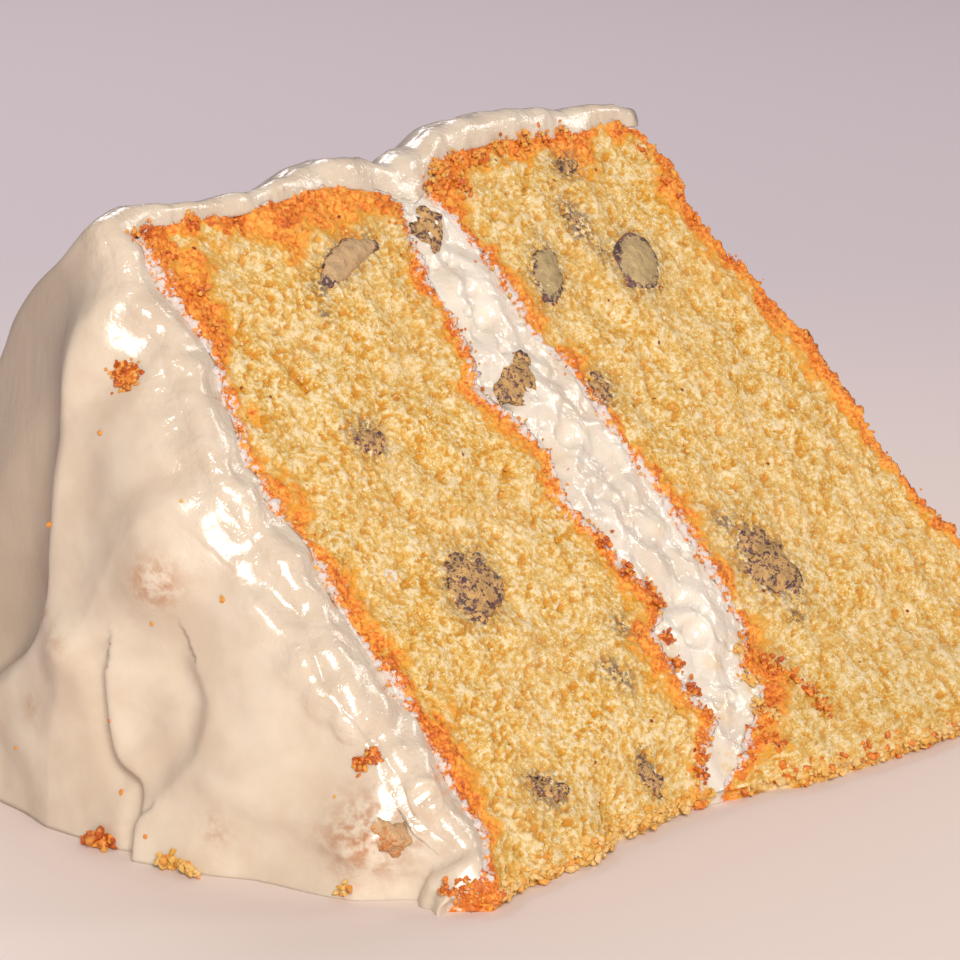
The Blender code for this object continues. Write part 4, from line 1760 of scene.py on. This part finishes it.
@dataclass
class Crumbs:
    """Grains of crumb and crust that stand off the cake.

    Attributes:
        icing: the icing that some of them lie on.
        seed: seed of their places.
        tip_count: how many are tried along the tip edge.
        cut_count: how many lie scattered over the crumb.
        heaps: heaps on the icing as Y, Z, spread, count and how browned.
        specks: single grains on the icing as Y and Z.
        feet: heaps at the icing's foot as X, Y, spread, count and how browned.
        spots: places of all grains in metres.
        sizes: their sizes in millimetres.
        browns: how browned each is.
    """

    icing: Icing
    seed: int = 5
    tip_count: int = 1500
    cut_count: int = 700
    heaps: tuple[tuple[float, float, float, int, float], ...] = (
        (42.7, 46.5, 1.0, 240, 0.55), (12.0, 14.0, 0.7, 60, 0.6), (13.1, 12.7, 0.6, 50, 0.6))
    specks: Stations = (
        (28.0, 27.0), (35.7, 23.5), (40.5, 13.0), (55.0, 7.0), (40.0, 5.5), (34.7, 2.6),
        (15.0, 9.5), (44.0, 41.0), (50.0, 31.0), (33.0, 36.0))
    feet: tuple[tuple[float, float, float, int, float], ...] = (
        (-11.2, 41.6, 1.5, 90, 0.55), (-9.6, 44.0, 1.0, 30, 0.35), (-11.6, 31.5, 1.0, 45, 0.2),
        (-11.8, 28.5, 0.9, 30, 0.2), (-6.6, 12.6, 0.8, 14, 0.25))
    spots: list[Vector] = field(default_factory=list)
    sizes: list[float] = field(default_factory=list)
    browns: list[float] = field(default_factory=list)

    def add(self, spot: Vector, size: float, brown: float) -> None:
        """Keep one grain.

        Args:
            spot: its place in metres.
            size: its size in millimetres.
            brown: how browned it is.
        """
        self.spots.append(spot)
        self.sizes.append(size)
        self.browns.append(brown)

    def along_edges(self, chance: np.random.Generator) -> None:
        """Grains where crust meets cream in the upper cut.

        Args:
            chance: the source of their places.
        """
        edges = ((FORM.upper_start, 1.0, 260), (FORM.upper_end, -0.7, 300),
                 (FORM.lower_start, 0.8, 260), (FORM.lower_end, -0.7, 260))
        for profile, offset, count in edges:
            radii = chance.uniform(3.0, 75.0, count)
            places = profile.read(radii) + offset + chance.normal(0.0, 0.9, count)
            for radius, x in zip(radii, places):
                self.add(FORM.on_cut(x, radius, chance.uniform(-0.25, 0.1)),
                         chance.uniform(0.2, 0.5), chance.uniform(0.2, 0.7))

    def along_tip(self, chance: np.random.Generator) -> None:
        """Ragged grains along the tip edge.

        Args:
            chance: the source of their places.
        """
        for _ in range(self.tip_count):
            x = chance.uniform(-2.6, 96.0)
            if 38.0 < x < 41.5:
                continue
            radius = FORM.tip_radius + abs(chance.normal(0.0, 1.0))
            turn = chance.uniform(0.15, 1.0)
            row = FORM.points(np.array([x]), np.array([radius]), np.array([turn]))[0]
            size = chance.uniform(0.4, 1.1)
            row[1] -= abs(chance.normal(0.0, 0.4)) * MM
            row[2] = max(row[2], size * 0.45 * MM)
            crusty = x < 1.5 or (x > 36.0 and chance.random() < 0.25)
            self.add(Vector(row), size, 0.6 if crusty else chance.uniform(0.0, 0.35))

    def on_cut(self, chance: np.random.Generator) -> None:
        """Pale grains scattered over the crumb.

        Args:
            chance: the source of their places.
        """
        radii = chance.uniform(4.0, 74.0, self.cut_count)
        for layer, (start, end) in enumerate(((FORM.upper_start, FORM.upper_end),
                                              (FORM.lower_start, FORM.lower_end))):
            mine = radii[layer::2]
            lows, highs = start.read(mine) + 1.0, end.read(mine) - 1.0
            for radius, low, high in zip(mine, lows, highs):
                self.add(FORM.on_cut(chance.uniform(low, high), radius, chance.uniform(-0.1, 0.1)),
                         chance.uniform(0.2, 0.45), chance.uniform(0.0, 0.2))

    def in_clumps(self, chance: np.random.Generator) -> None:
        """Heaps of crust and crumb.

        Args:
            chance: the source of their places.
        """
        for clump in CLUMPS:
            for x, radius in clump.spots:
                for _ in range(clump.count):
                    off_x, off_r, off_h = chance.normal(0.0, clump.spread * 0.55, 3)
                    spot = FORM.on_cut(x + off_x, max(radius + off_r, 1.6),
                                       clump.height + 0.5 * off_h)
                    brown = np.clip(clump.brown + chance.normal(0.0, 0.16), 0.0, 1.0)
                    self.add(spot, chance.uniform(0.25, 0.75), float(brown))

    def on_icing(self, chance: np.random.Generator) -> None:
        """Crumbs caught in the icing and at its foot.

        Args:
            chance: the source of their places.
        """
        for y, z, spread, count, brown in self.heaps:
            for _ in range(count):
                off_y, off_z = chance.normal(0.0, spread * 0.6, 2)
                spot = self.icing.on_surface(y + off_y, z + off_z, chance.uniform(-0.2, 0.25))
                self.add(spot, chance.uniform(0.3, 0.7), brown + chance.uniform(-0.35, 0.35))
        for y, z in self.specks:
            self.add(self.icing.on_surface(y, z), chance.uniform(0.35, 0.75),
                     chance.uniform(0.2, 0.7))
        for x, y, spread, count, brown in self.feet:
            for _ in range(count):
                off_x, off_y = chance.normal(0.0, spread * 0.7, 2)
                size = chance.uniform(0.4, 1.0)
                height = size * 0.4 + abs(chance.normal(0.0, 0.6))
                row = ((x + 0.5 * off_x - FORM.centre_x) * MM, (y + off_y - FORM.centre_y) * MM,
                       height * MM)
                self.add(Vector(row), size, brown + chance.uniform(-0.2, 0.25))

    def build(self, material: bpy.types.Material) -> bpy.types.Object:
        """Make the grains as one piece.

        Args:
            material: their material.

        Returns:
            The piece.
        """
        chance = np.random.default_rng(self.seed)
        self.along_edges(chance)
        self.along_tip(chance)
        self.on_cut(chance)
        self.in_clumps(chance)
        self.on_icing(chance)
        grain = bmesh.new()
        bmesh.ops.create_icosphere(grain, subdivisions=1, radius=0.5)
        template = bpy.data.meshes.new("grain")
        grain.to_mesh(template)
        grain.free()
        heap = bmesh.new()
        for _ in self.spots:
            heap.from_mesh(template)
        grains, count = len(self.spots), len(template.vertices)
        bpy.data.meshes.remove(template)
        mesh = bpy.data.meshes.new("crumb_grains")
        heap.to_mesh(mesh)
        heap.free()
        corners = np.empty(len(mesh.vertices) * 3, np.float32)
        mesh.vertices.foreach_get("co", corners)
        corners = corners.reshape(grains, count, 3).astype(float)
        corners *= chance.uniform(0.62, 1.30, (grains, count, 1))
        corners *= chance.uniform(0.65, 1.3, (grains, 1, 3))
        angles = chance.uniform(0, 6.28, grains)
        axes = chance.normal(size=(grains, 3))
        turns = [np.array(Matrix.Rotation(angle, 3, Vector(axis)))
                 for angle, axis in zip(angles, axes)]
        corners = np.einsum("gij,gvj->gvi", np.array(turns), corners)
        corners *= np.array(self.sizes)[:, None, None] * MM
        corners += np.array(self.spots)[:, None, :]
        corners[..., 2] = np.maximum(corners[..., 2], 0.0)
        mesh.vertices.foreach_set("co", corners.astype(np.float32).ravel())
        brown = mesh.attributes.new("brown", "FLOAT", "POINT")
        brown.data.foreach_set("value", np.repeat(np.array(self.browns, np.float32), count))
        mesh.update()
        mesh.materials.append(material)
        return show("crumb_grains", mesh, "crumb")


@dataclass
class Studio:
    """Floor, soft light and camera.

    Attributes:
        reach: half the floor's side in metres.
        azimuth: the camera's turn about the cake in degrees.
        elevation: its height over the horizon in degrees.
        spot: the camera's place in millimetres, in the slice's frame.
        lens: focal length for the sensor.
        sensor: the sensor's width in millimetres.
        surround: colour of the light from all around.
        surround_strength: its strength.
        lamps: the lights as name, place in metres, side in metres, watts and colour.
    """

    reach: float = 6.0
    azimuth: float = -49.1
    elevation: float = 13.9
    spot: tuple[float, float, float] = (-269.3, -231.8, 129.9)
    lens: float = 149.4
    sensor: float = 36.0
    surround: Colour = (210, 202, 208)
    surround_strength: float = 0.40
    lamps: tuple[tuple[str, Colour, float, float, Colour], ...] = (
        ("key", (-0.78, -0.86, 0.62), 0.40, 16.0, (255, 252, 244)),
        ("fill", (0.75, -0.42, 0.60), 0.22, 1.4, (255, 250, 244)),
        ("back", (0.35, 0.7, 0.75), 0.5, 3.6, (250, 248, 255)))

    def floor(self) -> bpy.types.Object:
        """The plain floor.

        Returns:
            The floor, marked as not part of the cake.
        """
        ground = bmesh.new()
        bmesh.ops.create_grid(ground, x_segments=1, y_segments=1, size=self.reach)
        mesh = bpy.data.meshes.new("studio_floor")
        ground.to_mesh(mesh)
        ground.free()
        mesh.materials.append(FloorFinish().make("studio_floor"))
        floor = bpy.data.objects.new("studio_floor", mesh)
        bpy.context.scene.collection.objects.link(floor)
        return floor

    def lights(self) -> None:
        """A pale surrounding and the soft lights."""
        world = bpy.data.worlds.new("studio")
        world.use_nodes = True
        back = world.node_tree.nodes["Background"]
        back.inputs["Color"].default_value = linear(self.surround)
        back.inputs["Strength"].default_value = self.surround_strength
        bpy.context.scene.world = world
        for name, spot, side, power, colour in self.lamps:
            self.lamp(name, spot, side, power, colour)

    def lamp(self, name: str, spot: tuple[float, float, float], side: float, power: float,
             colour: Colour) -> None:
        """One square area light that faces the cake.

        Args:
            name: its name.
            spot: its place in metres.
            side: its side in metres.
            power: its power in watts.
            colour: its sRGB colour.
        """
        data = bpy.data.lights.new(name, "AREA")
        data.shape = "SQUARE"
        data.size = side
        data.energy = power
        data.color = linear(colour)[:3]
        lamp = bpy.data.objects.new(name, data)
        lamp.location = spot
        aim = Vector((0.0, 0.0, 0.03)) - Vector(spot)
        lamp.rotation_mode = "QUATERNION"
        lamp.rotation_quaternion = aim.to_track_quat("-Z", "Y")
        bpy.context.scene.collection.objects.link(lamp)

    def camera(self) -> bpy.types.Object:
        """The camera at the photograph's viewing angle.

        Returns:
            The camera, which is made the scene's own.
        """
        data = bpy.data.cameras.new("camera")
        data.lens = self.lens
        data.sensor_width = self.sensor
        data.clip_start = 0.01
        data.clip_end = 50.0
        camera = bpy.data.objects.new("camera", data)
        bpy.context.scene.collection.objects.link(camera)
        turn, rise = math.radians(self.azimuth), math.radians(self.elevation)
        back = Vector((math.sin(turn) * math.cos(rise), -math.cos(turn) * math.cos(rise),
                       math.sin(rise)))
        camera.location = (Vector(self.spot) - Vector((FORM.centre_x, FORM.centre_y, 0.0))) * MM
        camera.rotation_mode = "QUATERNION"
        camera.rotation_quaternion = (-back).to_track_quat("-Z", "Y")
        bpy.context.scene.camera = camera
        return camera

    def build(self) -> None:
        """Set up the studio."""
        self.floor()
        self.lights()
        self.camera()
        bpy.context.scene.view_settings.view_transform = "Standard"


def main() -> None:
    """Build the cake's pieces and the studio."""
    logging.basicConfig(level=logging.INFO, format="%(name)s: %(message)s")
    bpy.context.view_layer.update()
    crumb = CrumbFinish().make("crumb")
    upper = SpongeLayer(
        "sponge_upper", FORM.upper_start, FORM.upper_end,
        crust_start=Profile(((0, 3.0), (20, 3.4), (36, 2.6), (56, 2.6), (66, 4.0), (76, 8.0))),
        crust_end=Profile(((0, 1.4), (8, 1.6), (16, 2.6), (28, 2.8), (38, 1.6), (50, 2.2), (60, 2.4),
                           (76, 1.8))),
        crust_rim=Profile(((-3, 10.0), (4, 8.0), (10, 5.0), (16, 3.8), (40, 3.2))),
        cream_start=3.0, cream_end=2.0, bare_end=False, cells=(190, 360, 22),
        tears=(Tear(((9.8, 64.8), (8.2, 63.1), (8.0, 61.1), (9.0, 60.0)), 0.32, 0.9),
               Tear(((12.1, 57.6), (12.6, 56.4)), 0.6, 1.3)),
        crag=0.55)
    lower = SpongeLayer(
        "sponge_lower", FORM.lower_start, FORM.lower_end,
        crust_start=Profile(((0, 2.0), (12, 3.0), (22, 1.8), (40, 1.7), (56, 2.0), (76, 1.6))),
        crust_end=Profile(((0, 1.0), (30, 1.6), (50, 2.0), (66, 2.6), (76, 2.0))),
        crust_rim=Profile(((43, 4.2), (50, 3.2), (80, 2.6))),
        cream_start=2.0, cream_end=0.0, bare_end=True, cells=(165, 320, 42),
        tears=(Tear(((62.3, 51.2), (60.7, 47.0), (60.2, 45.2), (62.1, 43.9)), 0.3, 0.9),),
        crag=0.6)
    upper.build(crumb)
    lower.build(crumb)
    Filling().build(CreamFinish(light=(236, 226, 212), shade=(222, 206, 188), gloss=0.3,
                                wet=0.12, stain=(222, 188, 120)).make("filling"))
    icing = Icing()
    icing.build(CreamFinish().make("icing"))
    NutPieces().build()
    Crumbs(icing).build(LooseFinish().make("loose_crumb"))
    Studio().build()


if __name__ == "__main__":
    main()
